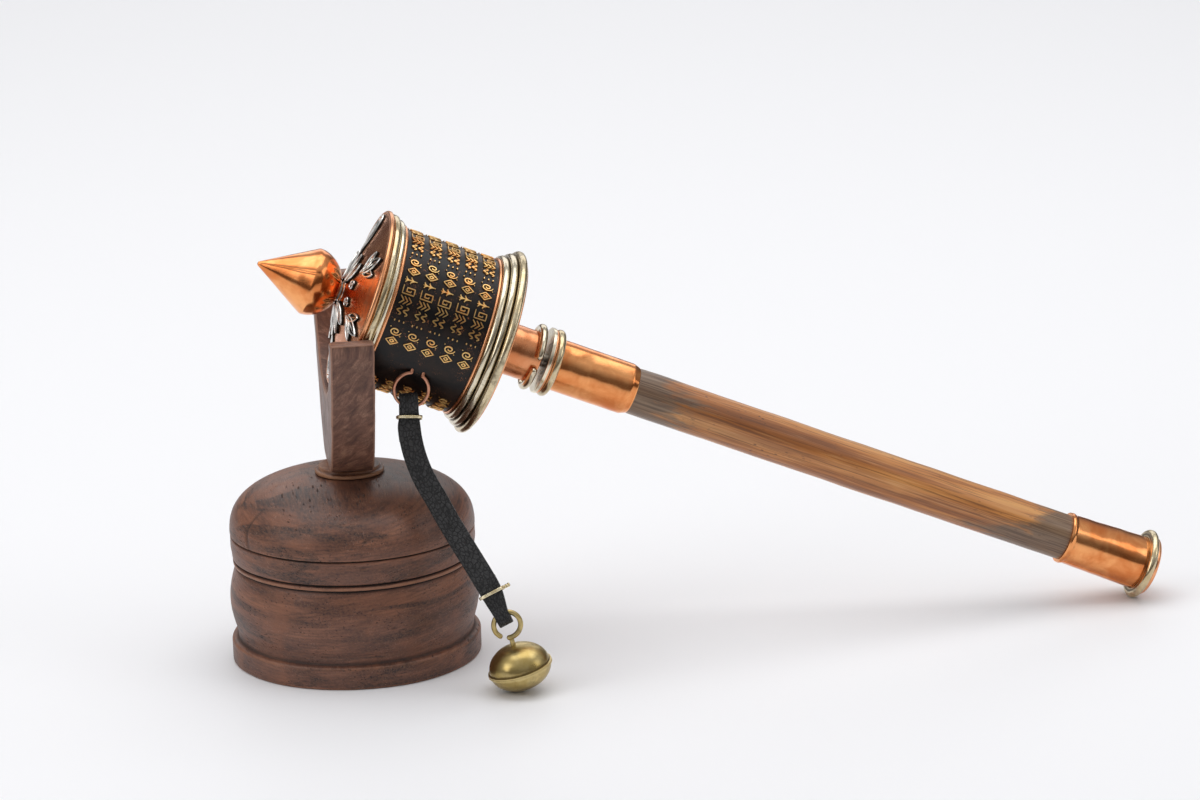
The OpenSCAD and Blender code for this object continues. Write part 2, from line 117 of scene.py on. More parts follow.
class Shell:
    """Points, faces, corner coordinates in metres and point fields that add up to one mesh."""

    def __init__(self):
        self.points, self.faces, self.corners, self.fields = [], [], [], {}
        self.count = 0

    def skin(self, grid, loop_rows=False, caps=True, middles=None, **fields):
        """Adds the closed skin over a grid of points whose columns go round.
        The rows go round too, or each end is closed by a fan to its middle point.
        The faces are turned outwards by the sign of the volume that they enclose."""
        rows, cols = grid.shape[:2]
        i, j = np.meshgrid(np.arange(rows if loop_rows else rows - 1), np.arange(cols), indexing="ij")
        ring = [(i, j), (i, j + 1), (i + 1, j + 1), (i + 1, j)]
        quads = np.stack([(a % rows) * cols + b % cols for a, b in ring], -1).reshape(-1, 4)
        down = np.linalg.norm(np.diff(grid, axis=0, append=grid[:1]), axis=2).mean(1)
        across = np.linalg.norm(np.diff(grid, axis=1, append=grid[:, :1]), axis=2).mean(0)
        v = np.concatenate([[0], np.cumsum(down)])
        u = np.concatenate([[0], np.cumsum(across)])
        corners = np.stack([np.stack([u[b], v[a]], -1) for a, b in ring], -2).reshape(-1, 4, 2)
        points = grid.reshape(-1, 3)
        values = {name: np.broadcast_to(f, (rows, cols)).reshape(-1) for name, f in fields.items()}
        tris = np.zeros((0, 3), int)
        tri_corners = np.zeros((0, 3, 2))
        if caps and not loop_rows:
            k = np.arange(cols)
            ends = middles if middles is not None else (grid[0].mean(0), grid[-1].mean(0))
            points = np.concatenate([points, np.array(ends)])
            first, last = rows * cols, rows * cols + 1
            base = (rows - 1) * cols
            tris = np.concatenate([
                np.stack([(k + 1) % cols, k, np.full(cols, first)], -1),
                np.stack([base + k, base + (k + 1) % cols, np.full(cols, last)], -1)])
            reach = np.linalg.norm(grid[0] - ends[0], axis=1).mean()
            tri_corners = np.concatenate([
                np.stack([np.stack([u[k + 1], 0 * k], -1), np.stack([u[k], 0 * k], -1),
                          np.stack([u[k], 0 * k - reach], -1)], -2),
                np.stack([np.stack([u[k], v[rows - 1] + 0 * k], -1),
                          np.stack([u[k + 1], v[rows - 1] + 0 * k], -1),
                          np.stack([u[k], v[rows - 1] + reach + 0 * k], -1)], -2)])
            values = {name: np.concatenate([f, [f[:cols].mean(), f[-cols:].mean()]]) for name,
                      f in values.items()}
        solid = points - points.mean(0)
        a, b, c, d = (solid[quads[:, n]] for n in range(4))
        volume = (a * np.cross(b, c)).sum() + (a * np.cross(c, d)).sum()
        volume += (solid[tris[:, 0]] * np.cross(solid[tris[:, 1]], solid[tris[:, 2]])).sum()
        if volume < 0:
            quads, corners = quads[:, ::-1], corners[:, ::-1]
            tris, tri_corners = tris[:, ::-1], tri_corners[:, ::-1]
        self.faces += (quads + self.count).tolist() + (tris + self.count).tolist()
        self.corners.append(np.concatenate([corners.reshape(-1, 2), tri_corners.reshape(-1, 2)]))
        for name in set(self.fields) | set(values):
            before = self.fields.get(name, np.zeros(self.count))
            self.fields[name] = np.concatenate([before, values.get(name, np.zeros(len(points)))])
        self.points.append(points)
        self.count += len(points)
        return self

    def piece(self, name, finish, body, slot, *replaced, sharp=40):
        """Makes the mesh object, gives it its finish and puts it on its CAD body."""
        mesh = bpy.data.meshes.new(name)
        mesh.from_pydata(np.concatenate(self.points).tolist(), [], self.faces)
        layer = mesh.uv_layers.new(name="Surface")
        layer.uv.foreach_set("vector", np.concatenate(self.corners).astype(np.float32).ravel())
        for label, values in self.fields.items():
            field = mesh.attributes.new(label, "FLOAT", "POINT")
            field.data.foreach_set("value", np.clip(values, 0, 1).astype(np.float32))
        mesh.shade_smooth()
        mesh.set_sharp_from_angle(angle=math.radians(sharp))
        mesh.materials.append(finish)
        made = placed(name, mesh)
        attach(made, body)
        if replaced:
            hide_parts(*replaced)
        return made


# ---- Outlines and turned pieces ----

def outline(*corners, steps=8):
    """A line through corners (radius, station, rounding), each one rounded by an arc of that radius."""
    at = np.array([c[:2] for c in corners], float)
    line = [at[0]]
    for k in range(1, len(at) - 1):
        before, after = at[k - 1] - at[k], at[k + 1] - at[k]
        rounding = corners[k][2] if len(corners[k]) > 2 else 0.12 * MM
        room = 0.45 * min(np.linalg.norm(before), np.linalg.norm(after))
        half = math.acos(np.clip(unit(before) @ unit(after), -1, 1)) / 2
        if half > 1.55 or rounding <= 0:
            line.append(at[k])
            continue
        reach = min(rounding / math.tan(half), room)
        a, b = at[k] + unit(before) * reach, at[k] + unit(after) * reach
        t = np.linspace(0, 1, steps)[:, None]
        line += list((1 - t) ** 2 * a + 2 * t * (1 - t) * at[k] + t * t * b)
    line.append(at[-1])
    return np.array(line)


def resample(line, count, focus=0.0, closed=False):
    """The same line with count points, even along it, or denser where it bends if focus is above 0."""
    if closed:
        line = np.concatenate([line, line[:1]])
    lengths = np.linalg.norm(np.diff(line, axis=0), axis=1)
    along = np.concatenate([[0], np.cumsum(lengths)])
    fine = np.linspace(0, along[-1], count * 24)
    dense = np.stack([np.interp(fine, along, line[:, k]) for k in range(line.shape[1])], -1)
    heading = unit(np.gradient(dense, axis=0) + 1e-12)
    turn = np.linalg.norm(np.gradient(heading, axis=0), axis=1)
    blur = np.exp(-np.linspace(-2, 2, 25) ** 2)
    weight = np.gradient(fine) + focus * np.convolve(turn, blur / blur.sum(), "same")
    total = np.concatenate([[0], np.cumsum(weight[1:])])
    at = np.interp(np.linspace(0, total[-1], count + (1 if closed else 0)), total, fine)
    out = np.stack([np.interp(at, fine, dense[:, k]) for k in range(line.shape[1])], -1)
    return out[:-1] if closed else out


def corners_of(line, reach, closed):
    """How far a turned line is an outer corner, and how far it is a groove, at each of its points."""
    ends = line[:1] if closed else np.array([[0, line[-1][1]], [0, line[0][1]]])
    whole = np.concatenate([line, ends])
    r, s = whole[:, 0], whole[:, 1]
    side = np.sign((r * np.roll(s, -1) - s * np.roll(r, -1)).sum())
    before = line - np.roll(line, 1, 0)
    after = np.roll(line, -1, 0) - line
    turn = np.arctan2(before[:, 0] * after[:, 1] - before[:, 1] * after[:, 0],
                      (before * after).sum(1)) * side
    if not closed:
        turn[[0, -1]] = 0
    along = np.cumsum(np.linalg.norm(before, axis=1))
    near = np.exp(-((along[:, None] - along[None]) / reach) ** 2)
    spread = near @ turn / (math.pi / 2)
    return np.clip(spread, 0, 1), np.clip(-spread, 0, 1)


def lathe(shell, line, place=WHEEL, turns=160, closed=True, reach=0.5 * MM, dents=None, **fields):
    """Adds a turned piece: a line of radius and station carried round the axis of a place.
    A closed line makes a ring; an open one runs from axis to axis and its ends are closed there.
    dents gives the distance that each point moves outwards, from the points, their angle and the line."""
    origin, x, y, z = place
    angle = np.linspace(0, 2 * math.pi, turns, endpoint=False)
    round_about = np.cos(angle)[:, None] * x + np.sin(angle)[:, None] * y
    grid = origin + line[:, 0, None, None] * round_about[None] + line[:, 1, None, None] * z
    edge, groove = corners_of(line, reach, closed)
    if dents is not None:
        shift = dents(grid, np.degrees(angle)[None], line[:, 1, None], line[:, 0, None])
        grid = grid + shift[..., None] * round_about[None]
    values = {"edge": edge[:, None], "groove": groove[:, None]}
    values.update({k: f(grid, np.degrees(angle)[None], line) for k, f in fields.items()})
    middles = (origin + line[0, 1] * z, origin + line[-1, 1] * z)
    return shell.skin(grid, loop_rows=closed, middles=None if closed else middles, **values)


def bead(inner, outer, start, end, count=40):
    """Closed outline of a ring whose outer side is a half round as high as the ring."""
    half = (end - start) / 2
    a = np.radians(np.linspace(-90, 90, 18))
    nose = np.stack([outer - half + half * np.cos(a), start + half + half * np.sin(a)], -1)
    return resample(np.concatenate([[[inner, start]], nose, [[inner, end]]]), count, closed=True)


# ---- Paths and swept pieces ----

def curve(points, count):
    """A smooth line through the points: cubic pieces whose slopes are those of each point's neighbours."""
    p = np.array(points, float)
    t = np.concatenate([[0], np.cumsum(np.linalg.norm(np.diff(p, axis=0), axis=1) ** 0.5)])
    slope = np.gradient(p, t, axis=0)
    at = np.linspace(0, t[-1], count)
    k = np.clip(np.searchsorted(t, at, "right") - 1, 0, len(t) - 2)
    h = (t[k + 1] - t[k])[:, None]
    x = ((at - t[k]) / (t[k + 1] - t[k]))[:, None]
    return ((2 * x**3 - 3 * x**2 + 1) * p[k] + (x**3 - 2 * x**2 + x) * h * slope[k]
            + (3 * x**2 - 2 * x**3) * p[k + 1] + (x**3 - x**2) * h * slope[k + 1])


def frames(path, side, closed=False):
    """Heading, side and face directions along a path, the side kept near to the given one."""
    if closed:
        heading = unit(np.roll(path, -1, 0) - np.roll(path, 1, 0))
    else:
        heading = unit(np.gradient(path, axis=0))
    side = np.broadcast_to(side, path.shape)
    side = unit(side - heading * (side * heading).sum(1)[:, None])
    return heading, side, np.cross(heading, side)


def sweep(shell, path, side, section, width=1.0, height=1.0, closed=False, **fields):
    """Adds a section of (side, face) offsets carried along a path, scaled by the width and height there."""
    _, across, face = frames(path, side, closed)
    width = np.broadcast_to(width, len(path))[:, None, None]
    height = np.broadcast_to(height, len(path))[:, None, None]
    grid = (path[:, None] + across[:, None] * section[None, :, :1] * width
            + face[:, None] * section[None, :, 1:] * height)
    return shell.skin(grid, loop_rows=closed, **fields)


def round_section(sides):
    """A circle of radius one."""
    a = np.linspace(0, 2 * math.pi, sides, endpoint=False)
    return np.stack([np.cos(a), np.sin(a)], -1)


def wire(shell, path, radius, side=(0, 1, 0), sides=20, closed=False, tips=True, **fields):
    """Adds a round wire along a path. An open end is domed: its radius shrinks as a circle does."""
    path = np.asarray(path)
    radius = np.broadcast_to(np.asarray(radius, float), len(path)).copy()
    if tips and not closed:
        along = np.concatenate([[0], np.cumsum(np.linalg.norm(np.diff(path, axis=0), axis=1))])
        for from_end in (along, along[-1] - along):
            near = np.clip(from_end / radius.max(), 0, 1)
            radius *= np.sqrt(np.clip(1 - (1 - near) ** 2, 0.02, 1))
    return sweep(shell, path, side, round_section(sides), radius, radius, closed, **fields)


# ---- Finishes ----

class Tree:
    """Short calls for filling a node tree."""

    def __init__(self, tree):
        self.tree = tree

    def node(self, kind, **settings):
        made = self.tree.nodes.new(kind)
        for name, value in settings.items():
            setattr(made, name, value)
        return made

    def put(self, socket, value):
        if isinstance(value, bpy.types.NodeSocket):
            self.tree.links.new(value, socket)
        elif socket.type == "RGBA":
            socket.default_value = (*value[:3], 1.0)
        else:
            socket.default_value = value

    def math(self, operation, a, b=0.5, clamp=False):
        n = self.node("ShaderNodeMath", operation=operation, use_clamp=clamp)
        self.put(n.inputs[0], a)
        self.put(n.inputs[1], b)
        return n.outputs[0]

    def scaled(self, value, by, plus):
        """value times by, plus plus."""
        n = self.node("ShaderNodeMath", operation="MULTIPLY_ADD")
        for socket, number in zip(n.inputs, (value, by, plus)):
            self.put(socket, number)
        return n.outputs[0]

    def levels(self, value, low, high, to_low=0.0, to_high=1.0):
        """value between low and high becomes a smooth ramp between to_low and to_high."""
        n = self.node("ShaderNodeMapRange", interpolation_type="SMOOTHSTEP")
        for socket, number in zip(n.inputs[:5], (value, low, high, to_low, to_high)):
            self.put(socket, number)
        return n.outputs[0]

    def mix(self, share, a, b, kind="MIX"):
        n = self.node("ShaderNodeMix", data_type="RGBA", blend_type=kind)
        self.put(n.inputs[0], share)
        self.put(n.inputs[6], a)
        self.put(n.inputs[7], b)
        return n.outputs[2]

    def ramp(self, value, *stops):
        """Colours or greys at their places along a value."""
        n = self.node("ShaderNodeValToRGB")
        while len(n.color_ramp.elements) < len(stops):
            n.color_ramp.elements.new(0.5)
        for element, (place, colour) in zip(n.color_ramp.elements, stops):
            element.position = place
            element.color = (*colour, 1.0) if isinstance(colour, tuple) else (colour, colour, colour, 1.0)
        self.put(n.inputs[0], value)
        return n.outputs[0]

    def place(self, vector, scale=(1, 1, 1), turn=(0, 0, 0), shift=(0, 0, 0)):
        n = self.node("ShaderNodeMapping")
        self.put(n.inputs["Vector"], vector)
        n.inputs["Scale"].default_value = scale
        n.inputs["Rotation"].default_value = turn
        n.inputs["Location"].default_value = shift
        return n.outputs[0]

    def noise(self, vector, scale=1.0, detail=3.0, rough=0.5, swirl=0.0):
        n = self.node("ShaderNodeTexNoise")
        for name, value in zip(("Vector", "Scale", "Detail", "Roughness", "Distortion"),
                               (vector, scale, detail, rough, swirl)):
            self.put(n.inputs[name], value)
        return n.outputs[0]

    def cells(self, vector, scale=1.0, feature="F1", jitter=1.0):
        n = self.node("ShaderNodeTexVoronoi", feature=feature)
        self.put(n.inputs["Vector"], vector)
        self.put(n.inputs["Scale"], scale)
        self.put(n.inputs["Randomness"], jitter)
        return n.outputs["Distance"]

    def field(self, name):
        return self.node("ShaderNodeAttribute", attribute_name=name).outputs["Fac"]

    def object_point(self):
        return self.node("ShaderNodeTexCoord").outputs["Object"]

    def surface_point(self):
        return self.node("ShaderNodeUVMap", uv_map="Surface").outputs[0]

    def bump(self, height, strength, depth, normal=None):
        """depth is the height of a full step in metres."""
        n = self.node("ShaderNodeBump")
        self.put(n.inputs["Strength"], strength)
        self.put(n.inputs["Distance"], depth)
        self.put(n.inputs["Height"], height)
        if normal is not None:
            self.put(n.inputs["Normal"], normal)
        return n.outputs[0]

    def use(self, group, **values):
        n = self.node("ShaderNodeGroup", node_tree=group)
        for name, value in values.items():
            self.put(n.inputs[name.replace("_", " ")], value)
        return n.outputs


def shared(name, inputs, outputs, fill):
    """A shader node group, built once: inputs with their defaults, outputs, and what fills it."""
    if name in bpy.data.node_groups:
        return bpy.data.node_groups[name]
    tree = bpy.data.node_groups.new(name, "ShaderNodeTree")
    tree.interface.new_socket("Vector", in_out="INPUT", socket_type="NodeSocketVector")
    for label, value in inputs.items():
        socket = tree.interface.new_socket(label, in_out="INPUT", socket_type="NodeSocketFloat")
        socket.default_value = value
    for label in outputs:
        tree.interface.new_socket(label, in_out="OUTPUT", socket_type="NodeSocketFloat")
    t = Tree(tree)
    entry, leave = t.node("NodeGroupInput"), t.node("NodeGroupOutput")
    for label, socket in fill(t, entry.outputs).items():
        t.put(leave.inputs[label], socket)
    return tree


def edge_wear():
    """Where a corner is rubbed bare: the edge field, broken up by two sizes of mottling."""
    def fill(t, given):
        coarse = t.noise(given["Vector"], 380.0, 4.0, 0.6)
        fine = t.noise(given["Vector"], 2200.0, 2.0, 0.5)
        broken = t.math("ADD", t.math("MULTIPLY", coarse, 0.7), t.math("MULTIPLY", fine, 0.3))
        worn = t.math("ADD", given["Edge"], t.math("SUBTRACT", broken, 0.5))
        return {"Mask": t.levels(worn, t.math("SUBTRACT", 0.75, given["Amount"]), 1.0)}
    return shared("Edge wear", {"Edge": 0.0, "Amount": 0.3}, ["Mask"], fill)


def tarnish():
    """Dark film: cloudy patches, and more of it down in the grooves."""
    def fill(t, given):
        cloud = t.noise(given["Vector"], given["Size"], 6.0, 0.62, 0.4)
        spots = t.noise(given["Vector"], t.math("MULTIPLY", given["Size"], 7.0), 3.0, 0.6)
        film = t.math("ADD", t.math("MULTIPLY", cloud, 0.75), t.math("MULTIPLY", spots, 0.25))
        deep = t.math("ADD", film, t.math("MULTIPLY", given["Groove"], 0.7))
        return {"Mask": t.levels(deep, t.math("SUBTRACT", 0.8, given["Amount"]),
                                 t.math("SUBTRACT", 1.1, given["Amount"])),
                "Cloud": cloud}
    return shared("Tarnish", {"Size": 120.0, "Groove": 0.0, "Amount": 0.3}, ["Mask", "Cloud"], fill)


def scuffs():
    """Fine rubbed lines: noise drawn out along two slanted directions, and only its crests."""
    def fill(t, given):
        lines = []
        for turn, stretch in ((0.5, 34.0), (-0.9, 26.0)):
            drawn = t.place(given["Vector"], (3600.0, stretch * 3, 3600.0 / 2),
                            (turn, turn * 0.7, turn * 1.3))
            lines.append(t.levels(t.noise(drawn, 1.0, 2.0, 0.5), 0.62, 0.72))
        found = t.math("MAXIMUM", *lines)
        where = t.levels(t.noise(given["Vector"], 160.0, 3.0, 0.5), 0.42, 0.6)
        return {"Mask": t.math("MULTIPLY", found, where)}
    return shared("Scuffs", {}, ["Mask"], fill)


def wood_figure():
    """Wood in layers: the layers lie across Y and the fibres run along Z, in units of one layer.
    Bands are the broad layers, Rings their fine lines, Fibre the thin streaks and Pores the open dashes."""
    def fill(t, given):
        swayed = t.place(given["Vector"], (0.3, 1.0, 0.06))
        bands = t.noise(swayed, 1.0, 6.0, 0.6, 0.7)
        waves = t.node("ShaderNodeTexWave", wave_type="BANDS", bands_direction="Y")
        for name, value in (("Scale", 1.1), ("Distortion", 5.0), ("Detail", 3.0), ("Detail Scale", 0.5)):
            waves.inputs[name].default_value = value
        t.put(waves.inputs["Vector"], t.place(given["Vector"], (0.5, 1.0, 0.08)))
        fibre = t.noise(t.place(given["Vector"], (7.0, 7.0, 0.3)), 1.0, 4.0, 0.6)
        dashes = t.cells(t.place(given["Vector"], (5.0, 5.0, 0.42)), 1.0)
        open_grain = t.noise(t.place(given["Vector"], (0.8, 0.8, 0.1)), 1.0, 2.0)
        pores = t.math("MULTIPLY", t.levels(dashes, 0.30, 0.12), t.levels(open_grain, 0.42, 0.62))
        return {"Bands": bands, "Rings": waves.outputs["Fac"], "Fibre": fibre, "Pores": pores}
    return shared("Wood figure", {}, ["Bands", "Rings", "Fibre", "Pores"], fill)


def leather_grain():
    """Pebbled hide: rounded cells of two sizes with creases between them."""
    def fill(t, given):
        bent = t.node("ShaderNodeVectorMath", operation="ADD")
        wander = t.node("ShaderNodeTexNoise")
        wander.inputs["Scale"].default_value = 0.7
        t.put(wander.inputs["Vector"], given["Vector"])
        t.put(bent.inputs[0], given["Vector"])
        t.put(bent.inputs[1], wander.outputs["Color"])
        big = t.cells(bent.outputs[0], 1.0, "DISTANCE_TO_EDGE")
        small = t.cells(bent.outputs[0], 2.7, "DISTANCE_TO_EDGE")
        crease = t.levels(big, 0.0, 0.2)
        height = t.math("ADD", t.math("MULTIPLY", crease, 0.7),
                        t.math("MULTIPLY", t.levels(small, 0.0, 0.22), 0.3))
        return {"Height": height, "Crease": t.math("SUBTRACT", 1.0, crease)}
    return shared("Leather grain", {}, ["Height", "Crease"], fill)


def finish(name, fill):
    """A named finish, built when first asked for: fill gives the shader's sockets their values."""
    label = name + "_finish"
    if label in bpy.data.materials:
        return bpy.data.materials[label]
    made = bpy.data.materials.new(label)
    made.use_nodes = True
    made.node_tree.nodes.clear()
    t = Tree(made.node_tree)
    shader, out = t.node("ShaderNodeBsdfPrincipled"), t.node("ShaderNodeOutputMaterial")
    t.put(out.inputs["Surface"], shader.outputs[0])
    for label, value in fill(t).items():
        t.put(shader.inputs[label], value)
    return made


def wheel_point(t):
    """Object coordinates turned into the wheel's own frame: X down, Y back, Z along."""
    turn = math.atan2(DOWN[2], DOWN[0])
    shift = -np.array([DOWN @ HUB, BACK @ HUB, ALONG @ HUB])
    return t.place(t.object_point(), (1, 1, 1), (0, turn, 0), tuple(shift))


def metal(name, colour, dark, bright, rough=0.22, film=0.3, wear=0.3, cloud=120.0, spread=0.16, lumps=0.0):
    """A worn metal: its colour, a dark film in patches and grooves, and bright rubbed corners and lines."""
    def fill(t):
        p = t.object_point()
        skin = t.use(tarnish(), Vector=p, Size=cloud, Groove=t.field("groove"), Amount=film)
        rubbed = t.use(edge_wear(), Vector=p, Edge=t.field("edge"), Amount=wear)["Mask"]
        lines = t.use(scuffs(), Vector=p)["Mask"]
        tone = t.mix(t.levels(skin["Cloud"], 0.35, 0.68), colour, bright)
        tone = t.mix(t.math("MULTIPLY", skin["Mask"], 0.85), tone, dark)
        tone = t.mix(t.math("MULTIPLY", rubbed, 0.75), tone, bright)
        tone = t.mix(t.math("MULTIPLY", lines, 0.1), tone, bright)
        gloss = t.scaled(skin["Cloud"], spread, rough - spread / 2)
        gloss = t.math("ADD", gloss, t.math("MULTIPLY", skin["Mask"], 0.2))
        gloss = t.math("ADD", gloss, t.math("MULTIPLY", lines, 0.05), clamp=True)
        relief = t.math("ADD", t.math("MULTIPLY", skin["Mask"], -0.5), t.math("MULTIPLY", lines, -0.06))
        normal = t.bump(relief, 0.35, 0.04 * MM)
        if lumps:
            normal = t.bump(t.noise(p, 420.0, 3.0, 0.5), lumps, 0.1 * MM, normal)
        return {"Base Color": tone, "Metallic": 1.0, "Roughness": gloss, "Normal": normal}
    return finish(name, fill)


METALS = {
    "copper": dict(colour=(0.64, 0.22, 0.085), dark=(0.15, 0.045, 0.02), bright=(0.88, 0.42, 0.21),
                   rough=0.26, film=0.28, wear=0.34, cloud=90.0, spread=0.2, lumps=0.25),
    "polished_copper": dict(colour=(0.70, 0.215, 0.062), dark=(0.20, 0.055, 0.018),
                            bright=(0.94, 0.42, 0.16),
                            rough=0.17, film=0.18, wear=0.3, cloud=110.0, spread=0.12, lumps=0.15),
    "copper_wire": dict(colour=(0.48, 0.20, 0.12), dark=(0.12, 0.05, 0.035), bright=(0.80, 0.42, 0.28),
                        rough=0.3, film=0.34, wear=0.3, cloud=300.0),
    "old_brass": dict(colour=(0.52, 0.40, 0.22), dark=(0.07, 0.045, 0.025), bright=(0.88, 0.76, 0.52),
                      rough=0.2, film=0.36, wear=0.42, cloud=160.0),
    "white_metal": dict(colour=(0.56, 0.48, 0.34), dark=(0.05, 0.035, 0.02), bright=(0.92, 0.83, 0.64),
                        rough=0.18, film=0.34, wear=0.42, cloud=170.0),
    "bell_brass": dict(colour=(0.40, 0.29, 0.10), dark=(0.11, 0.075, 0.03), bright=(0.72, 0.58, 0.28),
                       rough=0.3, film=0.36, wear=0.36, cloud=110.0, spread=0.2, lumps=0.3),
    "binding_wire": dict(colour=(0.62, 0.50, 0.28), dark=(0.16, 0.11, 0.05), bright=(0.90, 0.80, 0.56),
                         rough=0.26, film=0.2, wear=0.3, cloud=400.0),
    "dark_steel": dict(colour=(0.20, 0.185, 0.175), dark=(0.05, 0.04, 0.035), bright=(0.5, 0.48, 0.45),
                       rough=0.3, film=0.3, wear=0.3, cloud=200.0),
    "relief_copper": dict(colour=(0.90, 0.40, 0.13), dark=(0.13, 0.045, 0.016), bright=(1.0, 0.68, 0.27),
                          rough=0.3, film=0.16, wear=0.3, cloud=160.0),
}


def metal_of(slot):
    return metal(slot, **METALS[slot])


def blackened_silver():
    """White metal rubbed bright on its crests over blackened recesses."""
    def fill(t):
        p = t.object_point()
        skin = t.use(tarnish(), Vector=p, Size=260.0, Groove=t.field("groove"), Amount=0.2)
        lines = t.use(scuffs(), Vector=p)["Mask"]
        crest = t.math("SUBTRACT", t.field("crest"), t.math("MULTIPLY", skin["Mask"], 0.5))
        bare = t.levels(crest, 0.22, 0.62)
        silver = t.mix(skin["Cloud"], (0.78, 0.76, 0.71), (0.97, 0.95, 0.91))
        tone = t.mix(bare, (0.022, 0.02, 0.018), silver)
        tone = t.mix(t.math("MULTIPLY", lines, 0.3), tone, (0.3, 0.29, 0.27))
        gloss = t.math("SUBTRACT", 0.55, t.math("MULTIPLY", bare, 0.33))
        return {"Base Color": tone, "Metallic": 1.0, "Roughness": gloss,
                "Normal": t.bump(skin["Cloud"], 0.3, 0.05 * MM)}
    return finish("blackened_silver", fill)


def black_patina():
    """Black lacquer-like patina on copper, rubbed through to copper in specks between the raised marks."""
    def fill(t):
        p = t.object_point()
        skin = t.use(tarnish(), Vector=p, Size=140.0, Groove=t.field("groove"), Amount=0.3)
        lines = t.use(scuffs(), Vector=p)["Mask"]
        speck = t.levels(t.noise(p, 1500.0, 4.0, 0.6), 0.60, 0.72)
        near = t.levels(t.noise(p, 300.0, 2.0, 0.5), 0.45, 0.65)
        bare = t.math("MULTIPLY", t.math("MULTIPLY", speck, near), t.field("rows"))
        rim = t.use(edge_wear(), Vector=p, Edge=t.field("edge"), Amount=0.3)["Mask"]
        bare = t.math("MAXIMUM", bare, t.math("MULTIPLY", rim, 0.7))
        bare = t.math("MAXIMUM", bare, t.math("MULTIPLY", lines, t.math("MULTIPLY", near, 0.5)))
        black = t.mix(t.levels(skin["Cloud"], 0.4, 0.7), (0.004, 0.003, 0.003), (0.020, 0.010, 0.006))
        tone = t.mix(bare, black, (0.62, 0.25, 0.11))
        gloss = t.scaled(skin["Cloud"], 0.3, 0.2)
        height = t.math("ADD", t.math("MULTIPLY", skin["Cloud"], 0.6), t.math("MULTIPLY", lines, -0.4))
        return {"Base Color": tone, "Metallic": bare, "Roughness": gloss, "Specular IOR Level": 0.3,
                "Normal": t.bump(height, 0.4, 0.06 * MM)}
    return finish("black_patina", fill)


def turned_wood():
    """Dark turned wood: level brown layers, black streaks, pits and scuffs, with corners rubbed pale."""
    def fill(t):
        p = t.object_point()
        layered = t.place(p, (180.0, 420.0, 300.0), (math.radians(84), 0.0, math.radians(8)))
        figure = t.use(wood_figure(), Vector=layered)
        big = t.noise(t.place(p, (24.0, 24.0, 150.0)), 1.0, 6.0, 0.68, 0.8)
        patch = t.noise(p, 60.0, 4.0, 0.6, 0.5)
        tone = t.ramp(figure["Bands"], (0.25, (0.035, 0.019, 0.017)), (0.42, (0.085, 0.038, 0.028)),
                      (0.56, (0.165, 0.070, 0.045)), (0.72, (0.290, 0.125, 0.072)))
        tone = t.mix(t.math("MULTIPLY", t.levels(figure["Rings"], 0.55, 0.95), 0.35), tone,
                     (0.045, 0.024, 0.02))
        tone = t.mix(t.math("MULTIPLY", t.levels(patch, 0.48, 0.68), 0.55), tone, (0.25, 0.095, 0.048))
        tone = t.mix(t.math("MULTIPLY", t.levels(big, 0.50, 0.62), 0.9), tone, (0.022, 0.015, 0.015))
        fibre = t.levels(figure["Fibre"], 0.3, 0.7)
        tone = t.mix(t.math("MULTIPLY", fibre, 0.4), tone, (0.27, 0.115, 0.06))
        rubbed = t.use(edge_wear(), Vector=p, Edge=t.field("edge"), Amount=0.42)["Mask"]
        tone = t.mix(t.math("MULTIPLY", rubbed, 0.7), tone, (0.36, 0.16, 0.085))
        lines = t.use(scuffs(), Vector=p)["Mask"]
        tone = t.mix(t.math("MULTIPLY", lines, 0.3), tone, (0.42, 0.26, 0.19))
        grit = t.levels(t.noise(p, 2600.0, 3.0, 0.6), 0.62, 0.7)
        chips = t.math("MULTIPLY", grit, t.levels(t.noise(p, 130.0, 3.0), 0.42, 0.56))
        tone = t.mix(t.math("MULTIPLY", chips, 0.6), tone, (0.42, 0.20, 0.12))
        deep = t.math("MAXIMUM", t.field("groove"), t.field("pit"))
        deep = t.math("MAXIMUM", deep, t.math("MULTIPLY", figure["Pores"], 0.7))
        tone = t.mix(deep, tone, (0.016, 0.010, 0.009))
        gloss = t.scaled(patch, 0.3, 0.28)
        gloss = t.math("ADD", gloss, t.math("MULTIPLY", deep, 0.3), clamp=True)
        height = t.math("SUBTRACT", t.math("MULTIPLY", figure["Fibre"], 0.5), figure["Pores"])
        height = t.math("ADD", height, t.math("MULTIPLY", chips, -0.6))
        return {"Base Color": tone, "Roughness": gloss, "Specular IOR Level": 0.45,
                "Normal": t.bump(height, 0.9, 0.16 * MM)}
    return finish("dark_wood", fill)


